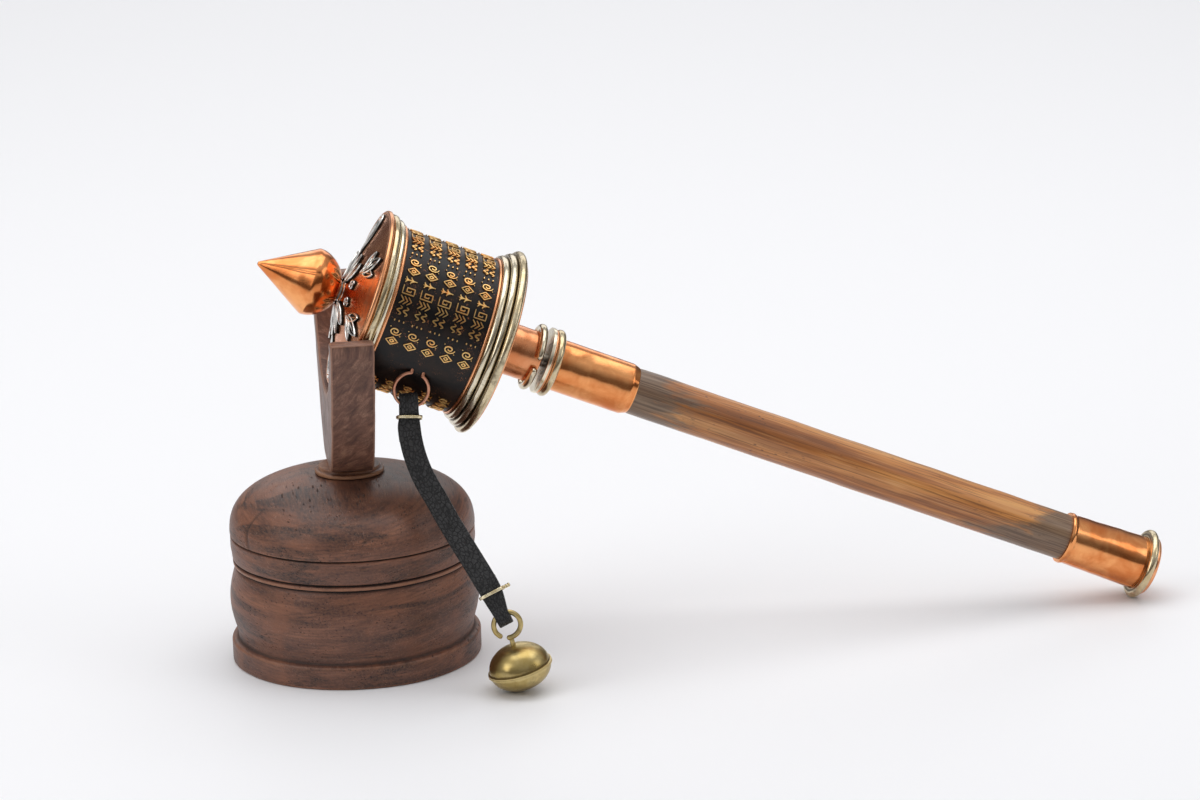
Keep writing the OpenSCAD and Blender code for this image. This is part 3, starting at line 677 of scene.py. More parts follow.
def plain_wood(name, turn, scale, dark, mid, pale, black, rough=0.45, pore=0.6, blotch=0.0):
    """Straight-grained wood: fibres along the turned Z, in three tones, with dark open pores."""
    def fill(t):
        p = t.object_point()
        figure = t.use(wood_figure(), Vector=t.place(p, scale, turn))
        tone = t.ramp(figure["Bands"], (0.28, dark), (0.5, mid), (0.72, pale))
        tone = t.mix(t.math("MULTIPLY", t.levels(figure["Fibre"], 0.42, 0.6), 0.5), tone, dark)
        stain = t.noise(p, 170.0, 4.0, 0.6, 0.6)
        tone = t.mix(t.math("MULTIPLY", t.levels(stain, 0.45, 0.65), blotch), tone, black)
        rubbed = t.use(edge_wear(), Vector=p, Edge=t.field("edge"), Amount=0.4)["Mask"]
        tone = t.mix(t.math("MULTIPLY", rubbed, 0.65), tone, pale)
        deep = t.math("MAXIMUM", t.field("groove"), t.math("MULTIPLY", figure["Pores"], pore))
        tone = t.mix(deep, tone, black)
        gloss = t.scaled(stain, 0.3, rough - 0.15)
        height = t.math("SUBTRACT", t.math("MULTIPLY", figure["Fibre"], 0.6), figure["Pores"])
        return {"Base Color": tone, "Roughness": gloss, "Specular IOR Level": 0.4,
                "Normal": t.bump(height, 0.6, 0.1 * MM)}
    return finish(name, fill)


def cradle_wood():
    return plain_wood("cradle_wood", (0.0, 0.0, 0.35), (1000.0, 1000.0, 420.0), (0.075, 0.034, 0.025),
                      (0.20, 0.092, 0.060), (0.38, 0.20, 0.13), (0.022, 0.013, 0.011), blotch=0.3)


def collar_wood():
    return plain_wood("collar_wood", (1.4, 0.2, 0.1), (500.0, 700.0, 500.0), (0.13, 0.050, 0.026),
                      (0.27, 0.115, 0.055), (0.42, 0.21, 0.11), (0.04, 0.02, 0.015), blotch=0.3)


def pale_wood():
    return plain_wood("pale_wood", (0.0, 0.0, 0.0), (500.0, 500.0, 400.0), (0.33, 0.19, 0.09),
                      (0.47, 0.30, 0.16), (0.60, 0.42, 0.25), (0.16, 0.09, 0.05))


def grip_wood(start, end):
    """Lacquered cane: amber streaks along the grip, grey stains at both ends, specks near the first."""
    def fill(t):
        q = wheel_point(t)
        figure = t.use(wood_figure(), Vector=t.place(q, (520.0, 520.0, 160.0)))
        broad = t.noise(t.place(q, (150.0, 150.0, 9.0)), 1.0, 4.0, 0.55, 0.5)
        hair = t.noise(t.place(q, (2300.0, 2300.0, 45.0)), 1.0, 3.0, 0.6)
        tone = t.ramp(broad, (0.34, (0.24, 0.075, 0.016)), (0.46, (0.44, 0.155, 0.034)),
                      (0.56, (0.62, 0.26, 0.070)), (0.68, (0.72, 0.36, 0.12)))
        tone = t.mix(t.math("MULTIPLY", t.levels(figure["Bands"], 0.46, 0.66), 0.5), tone,
                     (0.26, 0.10, 0.035))
        tone = t.mix(t.math("MULTIPLY", t.levels(hair, 0.50, 0.66), 0.7), tone, (0.14, 0.050, 0.018))
        tone = t.mix(t.math("MULTIPLY", t.levels(hair, 0.46, 0.28), 0.3), tone, (0.78, 0.50, 0.24))
        separate = t.node("ShaderNodeSeparateXYZ")
        t.put(separate.inputs[0], q)
        along, across = separate.outputs["Z"], separate.outputs["X"]
        wander = t.noise(t.place(q, (180.0, 180.0, 40.0)), 1.0, 4.0, 0.6, 0.8)
        sway = t.math("MULTIPLY", t.math("SUBTRACT", wander, 0.5), 60 * MM)
        reach = t.math("ADD", along, sway)
        near = t.levels(reach, start + 20 * MM, start + 9 * MM)
        far = t.levels(t.math("ADD", reach, t.math("MULTIPLY", across, 1.2)), end - 22 * MM, end - 13 * MM)
        grey = t.math("MAXIMUM", near, far)
        ash = t.mix(t.levels(hair, 0.35, 0.65), (0.20, 0.145, 0.095), (0.085, 0.058, 0.042))
        tone = t.mix(t.math("MULTIPLY", grey, 0.85), tone, ash)
        grains = t.cells(t.place(q, (900.0, 900.0, 420.0)), 1.0)
        spots = t.levels(t.math("ADD", grains, t.math("MULTIPLY", hair, 0.35)), 0.42, 0.30)
        zone = t.math("MULTIPLY", t.levels(reach, start + 16 * MM, start + 26 * MM),
                      t.levels(reach, start + 62 * MM, start + 36 * MM))
        crowd = t.levels(t.noise(t.place(q, (240.0, 240.0, 90.0)), 1.0, 3.0), 0.42, 0.58)
        specks = t.math("MULTIPLY", t.math("MULTIPLY", spots, zone), crowd)
        stray = t.math("MULTIPLY", spots, t.levels(crowd, 0.97, 1.0, 0.0, 0.35))
        specks = t.math("MAXIMUM", specks, stray)
        tone = t.mix(t.math("MULTIPLY", specks, 0.85), tone, (0.055, 0.022, 0.012))
        gloss = t.scaled(hair, 0.3, 0.22)
        height = t.math("SUBTRACT", t.math("MULTIPLY", hair, 0.7), specks)
        return {"Base Color": tone, "Roughness": gloss, "Specular IOR Level": 0.5,
                "Coat Weight": 0.25, "Coat Roughness": 0.18, "Normal": t.bump(height, 0.5, 0.07 * MM)}
    return finish("grip_wood", fill)


def strap_leather():
    """Black hide with a pebbled grain that is a little longer along the strap, dull in its creases."""
    def fill(t):
        q = t.place(t.surface_point(), (1150.0, 700.0, 1.0))
        grain = t.use(leather_grain(), Vector=q)
        pores = t.noise(q, 5.0, 2.0)
        worn = t.noise(t.surface_point(), 220.0, 3.0, 0.6)
        tone = t.mix(t.levels(worn, 0.4, 0.7), (0.0095, 0.0095, 0.0105), (0.024, 0.024, 0.026))
        rubbed = t.use(edge_wear(), Vector=t.object_point(), Edge=t.field("edge"), Amount=0.3)["Mask"]
        tone = t.mix(t.math("MULTIPLY", rubbed, 0.45), tone, (0.055, 0.052, 0.052))
        tone = t.mix(grain["Crease"], tone, (0.003, 0.003, 0.0035))
        gloss = t.math("ADD", 0.34, t.math("MULTIPLY", grain["Crease"], 0.35))
        height = t.math("ADD", grain["Height"], t.math("MULTIPLY", pores, 0.15))
        return {"Base Color": tone, "Roughness": gloss, "Specular IOR Level": 0.5,
                "Normal": t.bump(height, 1.0, 0.34 * MM)}
    return finish("strap_leather", fill)


def scroll_paper():
    """Rolled prayer paper: warm, with fibres, browned along its edges."""
    def fill(t):
        p = t.object_point()
        clouds = t.noise(p, 180.0, 5.0, 0.6)
        fibre = t.noise(t.place(p, (2500.0, 2500.0, 260.0)), 1.0, 3.0, 0.6)
        tone = t.mix(clouds, (0.70, 0.58, 0.38), (0.86, 0.78, 0.60))
        tone = t.mix(t.math("MULTIPLY", t.field("edge"), 0.6), tone, (0.36, 0.24, 0.12))
        tone = t.mix(t.math("MULTIPLY", t.levels(fibre, 0.55, 0.75), 0.3), tone, (0.5, 0.38, 0.22))
        return {"Base Color": tone, "Roughness": t.scaled(fibre, 0.2, 0.65),
                "Normal": t.bump(fibre, 0.4, 0.05 * MM)}
    return finish("scroll_paper", fill)


# ---- Settings ----

def length(label, about, value):
    """A size in metres."""
    return bpy.props.FloatProperty(name=label, description=about, default=value, unit="LENGTH",
                                   subtype="DISTANCE",
                                   precision=5, min=0.0)


def shade(label, about, value):
    """A colour."""
    return bpy.props.FloatVectorProperty(name=label, description=about, default=value, size=3,
                                         subtype="COLOR",
                                         min=0.0, max=1.0)


class StandSettings(bpy.types.PropertyGroup):
    foot_height: length("Foot height", "Height of the foot's straight band", 6.4 * MM)
    waist_height: length("Waist height", "Height of the double line round the waist", 28.5 * MM)
    shoulder_height: length("Shoulder height", "Height of the thin groove under the dome", 37.4 * MM)
    pit_depth: length("Pit depth", "Depth of the worn pits on the front", 0.5 * MM)
    corner: length("Cradle corner", "Rounding of the cradle's corners", 0.7 * MM)


class WheelSettings(bpy.types.PropertyGroup):
    dent: length("Dents", "How uneven the hand-beaten metal is", 0.05 * MM)
    marks: bpy.props.IntProperty(name="Marks", description="Raised marks in each row", default=44, min=12,
                                 max=60)
    stroke: length("Stroke", "Width of the raised strokes", 0.52 * MM)
    sheet: length("Paper", "Distance between the turns of the rolled paper", 1.25 * MM)


class HandleSettings(bpy.types.PropertyGroup):
    seam_depth: length("Seam", "Step of the lapped seams in the ferrules", 0.16 * MM)
    gap: bpy.props.FloatProperty(name="Ring gap", description="Opening between the neck ring's ends",
                                 default=0.3,
                                 unit="ROTATION", subtype="ANGLE")


class WeightSettings(bpy.types.PropertyGroup):
    strap_width: length("Strap width", "Width of the leather strap", 6.4 * MM)
    strap_thickness: length("Strap thickness", "Thickness of the leather", 1.6 * MM)
    tie_wire: length("Tie wire", "Radius of the wire round the strap's folds", 0.4 * MM)
    shell_wall: length("Bell wall", "Thickness of the bell's sheet", 0.6 * MM)


class StageSettings(bpy.types.PropertyGroup):
    floor: shade("Floor", "Colour of the floor", (0.90, 0.90, 0.915))
    lens: bpy.props.FloatProperty(name="Lens", description="Focal length in millimetres", default=135.0)


def settings(name):
    return getattr(bpy.context.scene, name)


class Build:
    """What every operator here shares."""
    bl_options = {"REGISTER", "UNDO"}

    def execute(self, context):
        self.build()
        return {"FINISHED"}


# ---- Stage ----

class STAGE_OT_build(Build, bpy.types.Operator):
    """Make the camera, the soft studio light and the pale floor"""
    bl_idname = "prayer_wheel.stage"
    bl_label = "Stage"

    heading = math.radians(-7.5)
    pitch = math.radians(15.3)
    roll = math.radians(-1.7)
    stand_point = (-0.0902, -1.2403, 0.4127)
    surround = (0.905, 0.905, 0.92)
    floor_rings = (0.2, 1.0, 8.0)
    # Name, place, point lit, width, depth and power of each soft light.
    lamps = (
        ("overhead", (0.10, 0.25, 1.30), (0.08, 0.0, 0.05), 1.7, 1.1, 9.5),
        ("left", (-1.25, -0.50, 0.85), (0.05, 0.0, 0.06), 0.9, 0.9, 5.0),
        ("right", (1.35, -0.60, 0.80), (0.10, 0.0, 0.05), 0.8, 0.8, 2.5),
        ("behind", (0.2, 1.5, 0.70), (0.10, 0.0, 0.05), 1.4, 0.7, 3.5),
    )

    def build(self):
        self.camera()
        for lamp in self.lamps:
            self.light(*lamp)
        self.sky()
        self.floor()

    def camera(self):
        data = bpy.data.cameras.new("camera")
        data.sensor_width = 36.0
        data.lens = settings("wheel_stage").lens
        data.clip_start, data.clip_end = 0.05, 50.0
        made = placed("camera", data)
        made.matrix_world = (Matrix.Translation(self.stand_point) @ Matrix.Rotation(self.heading, 4, "Z")
                             @ Matrix.Rotation(math.pi / 2 - self.pitch, 4,
                                               "X") @ Matrix.Rotation(self.roll, 4, "Z"))
        bpy.context.scene.camera = made
        bpy.context.scene.view_settings.view_transform = "Standard"

    def light(self, name, place, target, width, depth, power):
        data = bpy.data.lights.new(name, "AREA")
        data.shape, data.size, data.size_y, data.energy = "RECTANGLE", width, depth, power
        made = placed(name, data)
        back = unit(np.array(place) - np.array(target))
        side = unit(np.cross((0.0, 0.0, 1.0), back))
        up = np.cross(back, side)
        made.matrix_world = Matrix([[*row, p] for row,
                                    p in zip(np.stack([side, up, back], 1), place)] + [[0, 0, 0, 1]])

    def sky(self):
        """The view sees a plain pale surround; mirrors see a dim room whose ceiling is bright."""
        world = bpy.data.worlds.new("studio")
        world.use_nodes = True
        bpy.context.scene.world = world
        world.node_tree.nodes.clear()
        t = Tree(world.node_tree)
        height = t.node("ShaderNodeSeparateXYZ")
        t.put(height.inputs[0], t.node("ShaderNodeTexCoord").outputs["Generated"])
        room = t.ramp(height.outputs["Z"], (0.0, (0.10, 0.085, 0.075)), (0.30, (0.16, 0.15, 0.145)),
                      (0.62, (0.50, 0.51, 0.53)), (1.0, (0.72, 0.72, 0.73)))
        seen = t.node("ShaderNodeLightPath").outputs["Is Camera Ray"]
        back = t.node("ShaderNodeBackground")
        t.put(back.inputs["Color"], t.mix(seen, room, self.surround))
        t.put(back.inputs["Strength"], 1.0)
        t.put(t.node("ShaderNodeOutputWorld").inputs["Surface"], back.outputs[0])

    def floor(self):
        """A level disc under the foot, wide enough to fill every view."""
        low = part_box("base")[0].z
        angle = np.linspace(0, 2 * math.pi, 64, endpoint=False)
        rings = np.array(self.floor_rings)
        rim = np.stack([np.cos(angle), np.sin(angle), 0 * angle], -1)
        grid = rim[None] * rings[:, None, None] + np.array([0.08, 0.0, low - 0.05 * MM])
        cols = len(angle)
        k = np.arange(cols)
        quads = [np.stack([n * cols + k, (n + 1) * cols + k, (n + 1) * cols + (k + 1) % cols,
                           n * cols + (k + 1) % cols], -1)
                 for n in range(len(rings) - 1)]
        mesh = bpy.data.meshes.new("floor")
        mesh.from_pydata(grid.reshape(-1, 3).tolist(), [], np.concatenate(quads).tolist() + [k.tolist()])
        made = placed("floor", mesh)
        colour = tuple(settings("wheel_stage").floor)
        mesh.materials.append(finish("floor_paint", lambda t: {"Base Color": colour, "Roughness": 0.55,
                                                               "Specular IOR Level": 0.25}))


# ---- Stand ----

class STAND_OT_base(Build, bpy.types.Operator):
    """Turn the base and its collar"""
    bl_idname = "prayer_wheel.base"
    bl_label = "Base and collar"

    def build(self):
        self.base()
        self.collar()

    def base(self):
        """Outline: foot, cove, belly, double line, band, thin groove and a flattened quarter round dome."""
        s = settings("wheel_stand")
        low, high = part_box("base")
        foot, top = high.x, high.z
        peg = (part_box("cradle_peg")[1].x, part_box("cradle_peg")[0].z)
        t = np.linspace(0, 1, 60)
        belly = np.stack([foot - 1.8 * MM + 1.75 * MM * np.sin(math.pi * t),
                          s.foot_height + 3 * MM + (s.waist_height - s.foot_height - 4 * MM) * t], -1)
        a = np.radians(np.linspace(0, 88, 90))
        shoulder = s.shoulder_height + 0.45 * MM
        dome = np.stack([(foot - 0.7 * MM) * np.cos(a) ** 0.8,
                         shoulder + (top - shoulder) * np.sin(a) ** 0.8], -1)
        foot_line = outline((foot - 6 * MM, 0), (foot, 0, 0.7 * MM), (foot, s.foot_height, 0.9 * MM),
                            (foot - 2.0 * MM, s.foot_height + 0.5 * MM, 0.7 * MM),
                            (belly[0, 0], belly[0, 1]))
        waist = s.waist_height
        neck = outline((belly[-1, 0], belly[-1, 1]), (foot - 2.5 * MM, waist + 0.1 * MM, 0.2 * MM),
                       (foot - 1.35 * MM, waist + 0.45 * MM, 0.3 * MM),
                       (foot - 1.25 * MM, waist + 1.3 * MM, 0.3 * MM),
                       (foot - 2.2 * MM, waist + 1.75 * MM, 0.15 * MM),
                       (foot - 1.2 * MM, waist + 2.3 * MM, 0.4 * MM),
                       (foot - 0.75 * MM, waist + 5.5 * MM, 1.5 * MM),
                       (foot - 0.8 * MM, s.shoulder_height - 0.3 * MM, 0.25 * MM),
                       (foot - 1.5 * MM, s.shoulder_height + 0.1 * MM, 0.1 * MM), (dome[0, 0], dome[0, 1]))
        crown = outline((dome[-1, 0], top), (peg[0], top, 0.3 * MM), (peg[0], peg[1] - 0.1 * MM, 0.2 * MM),
                        (0.3 * MM, peg[1] - 0.1 * MM))
        line = np.concatenate([foot_line, belly[1:-1], neck, dome[1:-1], crown])
        line = resample(line, 250, focus=0.35 * MM)

        def worn(grid, angle, height, radius):
            """Slow unevenness all over, and pits on the front between the dome and its groove."""
            slow = 0.12 * MM * uneven(grid, 26 * MM, 3) * step(radius, 12 * MM, 20 * MM)
            turning = 0.02 * MM * uneven(grid * np.array([0.2, 0.2, 1.0]), 2.2 * MM, 4)
            return slow + turning - s.pit_depth * self.pits(grid, angle, height)

        shell = Shell()
        lathe(shell, line, STAND, 360, closed=False, reach=0.55 * MM, dents=worn,
              pit=lambda grid, angle, line: self.pits(grid, angle, line[:, 1, None]) ** 0.7)
        shell.piece("turned_base", turned_wood(), "stand", "dark_wood", "base", sharp=50)

    def pits(self, grid, angle, height):
        """Open pits where two scales of unevenness meet, in patches on the front; a crack on the left."""
        heading = (angle + 90 + 180) % 360 - 180
        fine = step(uneven(grid * np.array([0.6, 1.0, 1.0]), 2.3 * MM, 11, 24), 0.75, 1.5)
        patch = np.exp(-((heading - 4) / 17) ** 2 - ((height - 40 * MM) / (3.6 * MM)) ** 2)
        lower = 0.5 * np.exp(-((heading - 14) / 22) ** 2 - ((height - 20 * MM) / (4 * MM)) ** 2)
        knot = step(uneven(grid, 7 * MM, 12), -0.4, 0.6)
        wander = 1.6 * np.sin(height / (2.1 * MM)) + heading + 62
        crack = np.exp(-(wander / 0.8) ** 2 - ((height - 43 * MM) / (5 * MM)) ** 4)
        return np.clip(1.5 * fine * knot * (patch + lower) + 0.55 * crack, 0, 1)

    def collar(self):
        """A flat disc whose upper half steps in."""
        low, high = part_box("boss_disc")
        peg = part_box("cradle_peg")[1].x
        r, z, h = high.x, low.z, high.z - low.z
        line = outline((peg, z), (r, z, 0.2 * MM), (r, z + 0.45 * h, 0.35 * MM),
                       (r - 0.9 * MM, z + 0.6 * h, 0.2 * MM),
                       (r - 1.2 * MM, z + h, 0.35 * MM), (peg, z + h), (peg, z))[:-1]
        line = resample(line, 70, focus=0.3 * MM, closed=True)
        shell = Shell()
        lathe(shell, line, STAND, 160, dents=lambda grid, *_: 0.07 * MM * uneven(grid, 5 * MM, 7))
        shell.piece("collar_disc", collar_wood(), "stand", "collar_wood", "boss_disc")


class STAND_OT_cradle(Build, bpy.types.Operator):
    """Cut the forked cradle"""
    bl_idname = "prayer_wheel.cradle"
    bl_label = "Cradle"

    # Half of the fork's outside, from its foot up: distance from the middle, height over the foot.
    outside = ((0.0, 0.0), (7.3, 0.0), (11.0, 0.9), (14.2, 3.4), (17.4, 8.0), (20.6, 13.6), (23.6, 19.6),
               (26.6, 26.6),
               (29.2, 34.0))

    def build(self):
        """A rounded rectangle carried round the fork between its notch and its outside.
        The notch is half of an ellipse; both lines are divided evenly from the horn tops to the middle."""
        corner = settings("wheel_stand").corner
        co = points_of("cradle")
        low, high = co.min(0), co.max(0)
        half, foot = high[0], low[2]
        front_top = co[co[:, 1] < -0.9 * high[1], 2].max()
        notch_top = HUB[2] - 2 * MM
        notch_half = np.abs(co[(np.abs(co[:, 2] - high[2]) < 0.01 * MM), 1]).min()
        notch_low = co[np.abs(co[:, 1]) < 1.5 * MM, 2]
        notch_low = notch_low[notch_low > foot + 12 * MM].min()
        inner, outer = [], []
        for side, top in ((-1, front_top), (1, high[2])):
            a = np.radians(np.linspace(0, 90, 60))
            oval = np.stack([notch_half * np.cos(a), notch_top - (notch_top - notch_low) * np.sin(a)], -1)
            oval = oval[oval[:, 1] < min(top, notch_top) - 1e-6]
            depth = max(0.0, (notch_top - top) / (notch_top - notch_low))
            rise = np.array([[notch_half * math.sqrt(max(0.0, 1 - depth ** 2)), top]])
            inside = np.concatenate([rise, oval])
            out = curve(np.array(self.outside[1:]) * MM + [0, foot], 50)
            out = np.concatenate([[[0, foot]], out,
                                  [[high[1] - 0.3 * MM, front_top - 4 * MM], [high[1], top]]])[::-1]
            inside, out = resample(inside, 90), resample(out, 90)
            inside[-1, 0] = out[-1, 0] = 0
            inner.append(inside * [side, 1])
            outer.append(out * [side, 1])
        inner = np.concatenate([inner[0], inner[1][-2::-1]])
        outer = np.concatenate([outer[0], outer[1][-2::-1]])
        reach = np.linalg.norm(outer - inner, axis=1)[:, None]
        bow = np.radians(np.linspace(0, 90, 5))
        flat = np.linspace(0.2, 0.8, 7)
        wide, sine, lift = half - corner, corner * np.sin(bow), corner * (1 - np.cos(bow))
        cosine, drop = corner * np.cos(bow), corner * (1 - np.sin(bow))
        # Each stretch of the section: place across the thickness, share of the way out, offset from there.
        stretches = ((wide + sine, 0, lift), (half, flat, 0), (wide + cosine, 1, -drop),
                     (wide * (1 - 2 * flat), 1, 0), (-wide - sine, 1, -lift), (-half, 1 - flat, 0),
                     (-wide - cosine, 0, drop), (wide * (2 * flat - 1), 0, 0))
        parts = (np.broadcast_arrays(*x) for x in stretches)
        across, share, offset = (np.concatenate(part) for part in zip(*parts))
        grid, worn = self.ring(inner, outer, reach, across, offset, share, corner)
        grid = grid + unit(grid - grid.mean(1, keepdims=True)) * (0.06 * MM * uneven(grid, 9 * MM,
                                                                                     21))[..., None]
        shell = Shell()
        shell.skin(grid, edge=worn)
        shell.piece("cradle_fork", cradle_wood(), "stand", "cradle_wood", "cradle", sharp=50)

    def ring(self, inner, outer, reach, across, offset, share, corner):
        """The points of every section, with two more rounded-over sections at each horn's top."""
        way = unit(outer - inner)
        place = inner[:, None] + way[:, None] * (share * reach + offset)[..., None]
        grid = np.stack([np.broadcast_to(across, place.shape[:2]), place[..., 0], place[..., 1]], -1)
        edge = np.broadcast_to((np.abs(offset) > 0) * 0.9, grid.shape[:2]).copy()
        caps = []
        for end in (0, -1):
            middle = grid[end].mean(0)
            arm = grid[end] - middle
            longest = np.linalg.norm(arm, axis=1, keepdims=True)
            rows = []
            for a in np.radians((90, 60, 30)):
                pulled = middle + arm * (1 - corner * (1 - math.cos(a)) / longest)
                rows.append(pulled - [0, 0, corner * (1 - math.sin(a))])
            caps.append(np.array(rows))
            grid[end] -= [0, 0, corner]
        grid = np.concatenate([caps[0], grid, caps[1][::-1]])
        edge = np.concatenate([np.full((3, edge.shape[1]), 0.9), edge, np.full((3, edge.shape[1]), 0.9)])
        edge[0] = edge[-1] = 0.6
        return grid, edge


# ---- Raised strokes on a surface ----

def outwards(a):
    """Directions away from the wheel's axis at angles in radians."""
    return np.cos(a)[:, None] * DOWN + np.sin(a)[:, None] * BACK


def on_drum(angle, station, radius):
    """Places flat points (round, along) on the drum: gives where they are and which way is outwards."""
    def place(flat):
        a = math.radians(angle) + flat[:, 0] / radius
        out = outwards(a)
        return HUB + out * radius + (station + flat[:, 1])[:, None] * ALONG, out
    return place


def on_cone(angle, start, inner, slope):
    """Places flat points (outwards, round) on the lid's cone, wrapped so that lengths on it stay true."""
    def place(flat):
        x, y = start + flat[:, 0] * math.cos(slope), flat[:, 1]
        reach, a = np.hypot(x, y), math.radians(angle) + np.arctan2(y, x)
        out = outwards(a)
        station = np.maximum(reach - inner, 0) * math.tan(slope)
        face = out * math.sin(slope) - ALONG * math.cos(slope)
        return HUB + out * reach[:, None] + station[:, None] * ALONG, face
    return place


RIB = np.array([(-0.5, -0.15), (-0.46, 0.55), (-0.24, 1.0), (0.24, 1.0), (0.46, 0.55), (0.5, -0.15)])


def stroke(shell, flat, place, width, height, closed=False):
    """Adds a raised rib along flat points: a six-cornered section that narrows to its ends."""
    flat = np.asarray(flat, float)
    at, out = place(flat)
    heading = unit(np.roll(at, -1, 0) - np.roll(at, 1, 0)) if closed else unit(np.gradient(at, axis=0))
    side = unit(np.cross(heading, out))
    taper = np.ones(len(at))
    if not closed:
        taper = 0.55 + 0.45 * np.sqrt(np.clip(np.sin(np.linspace(0, math.pi, len(at))), 0, 1))
    grid = (at[:, None] + side[:, None] * (RIB[None, :, :1] * width * taper[:, None, None])
            + out[:, None] * (RIB[None, :, 1:] * height))
    top = np.clip(RIB[:, 1], 0, 1)
    return shell.skin(grid, loop_rows=closed, crest=top[None], edge=top[None] * 0.8, groove=(1 - top)[None])


def plate(shell, flat, place, height):
    """Adds a thin plate with the given flat outline, its rim rounded over."""
    flat = np.asarray(flat, float)
    middle = flat.mean(0)
    rows = []
    for scale, lift in ((1.0, -0.1), (1.0, 0.7), (0.93, 1.0), (0.4, 1.0)):
        at, out = place(middle + (flat - middle) * scale)
        rows.append(at + out * height * lift)
    return shell.skin(np.array(rows), crest=0.0, groove=0.6)


def arc(x, y, wide, tall, start, end, count=9):
    """Part of an ellipse round a point, between two angles in degrees."""
    a = np.radians(np.linspace(start, end, count))
    return np.stack([x + wide * np.cos(a), y + tall * np.sin(a)], -1)


def spiral(x, y, outer, inner, start, turn, count=12):
    """A curl that closes in on a point."""
    a = np.radians(np.linspace(start, start + turn, count))
    r = np.linspace(outer, inner, count)
    return np.stack([x + r * np.cos(a), y + r * np.sin(a)], -1)


def bars(*corners, each=3):
    """Straight lines through corners, with a few points on each."""
    c = np.array(corners, float)
    return np.concatenate([np.linspace(a, b, each, endpoint=False) for a,
                           b in zip(c[:-1], c[1:])] + [c[-1:]])


def petal(length, width, count=28):
    """Closed outline of a pointed petal: its half width is a power of the sine of the place along it."""
    a = np.linspace(0, 2 * math.pi, count, endpoint=False)
    x = 0.5 - 0.5 * np.cos(a)
    return np.stack([length * x, width / 2 * np.sign(np.sin(a)) * np.sin(math.pi * x) ** 0.8], -1)


def drop(length, width, count=40):
    """Closed outline of a teardrop: narrow at the start and round at the far end."""
    a = np.linspace(0, 2 * math.pi, count, endpoint=False)
    return np.stack([length * (0.5 - 0.5 * np.cos(a)), width * 0.71 * np.sin(a) * np.sin(a / 2) ** 1.5], -1)


# Invented ornament, in half cells: a scroll with two beads, a lozenge, a leaf spray, a meander, nested
# chevrons, a pair of waves and three beads. They follow one another in the same order in every row.
MOTIFS = (
    (spiral(0, 0, 0.92, 0.15, 90, -560, 18), bars((0.75, 0.9), (0.9, 0.9)),
     bars((-0.9, -0.9), (-0.75, -0.9))),
    (bars((0, -0.95), (0.9, 0), (0, 0.95), (-0.9, 0), (0, -0.95)),
     bars((0, -0.35), (0.35, 0), (0, 0.35), (-0.35, 0), (0, -0.35))),
    (bars((0, -0.95), (0, 0.95)), arc(-0.8, 0.75, 0.8, 0.8, -90, 0, 7),
     arc(0.8, 0.75, 0.8, 0.8, 270, 180, 7),
     arc(-0.7, -0.1, 0.7, 0.7, -90, 0, 7), arc(0.7, -0.1, 0.7, 0.7, 270, 180, 7)),
    (bars((-0.95, -0.9), (0.9, -0.9), (0.9, 0.9), (-0.5, 0.9), (-0.5, -0.3), (0.35, -0.3), (0.35, 0.35),
          (0, 0.35)),),
    (bars((-0.9, -0.9), (0, -0.3), (0.9, -0.9)), bars((-0.9, -0.3), (0, 0.3), (0.9, -0.3)),
     bars((-0.9, 0.3), (0, 0.9), (0.9, 0.3))),
    (np.stack([np.linspace(-0.95, 0.95, 13), 0.5 + 0.35 * np.sin(np.linspace(0, 9.4, 13))], -1),
     np.stack([np.linspace(-0.95, 0.95, 13), -0.5 + 0.35 * np.sin(np.linspace(0, 9.4, 13))], -1)),
    (bars((-0.2, 0.7), (0.2, 0.7)), bars((-0.2, 0), (0.2, 0)), bars((-0.2, -0.7), (0.2, -0.7))),
)


# ---- Turned rings ----

def foot_groove(inner, outer):
    """Dark where a ring meets what it sits on."""
    return lambda grid, angle, line: 1 - step(line[:, 0, None], inner, inner + 0.55 * (outer - inner))


def ring(name, node, body, slot, floor=None, dent=0.03 * MM, seed=1):
    """A half-round ring as large as its CAD node. floor is the radius of what it stands on."""
    start, end, inner, outer = span(node)
    line = bead(inner, outer, start, end)
    shell = Shell()
    lathe(shell, line, WHEEL, 200, dents=lambda grid, *_: dent * (uneven(grid, 6 * MM, seed) - 1),
          groove=foot_groove(floor or inner, outer))
    return shell.piece(name, metal_of(slot), body, slot, node)


def tube(name, node, body, slot, corners, dents=None, turns=200, count=150):
    """A turned closed outline through corners (radius, station, rounding) in millimetres."""
    at = [tuple(value * MM for value in corner) for corner in corners]
    line = resample(outline(*at, at[0])[:-1], count, focus=0.3 * MM, closed=True)
    shell = Shell()
    lathe(shell, line, WHEEL, turns, dents=dents)
    return shell.piece(name, metal_of(slot), body, slot, node)


def wavy(size, seed, amount, seam=None, depth=0.0):
    """Slow unevenness, and a lapped seam if its angle is given: a step that fades away round the tube."""
    def shift(grid, angle, *_):
        out = amount * (uneven(grid, size, seed) - 1)
        if seam is not None:
            round_from = (angle - seam) % 360
            out = out + depth * (np.exp(-round_from / 22) - 1)
        return out
    return shift


# ---- Wheel head ----

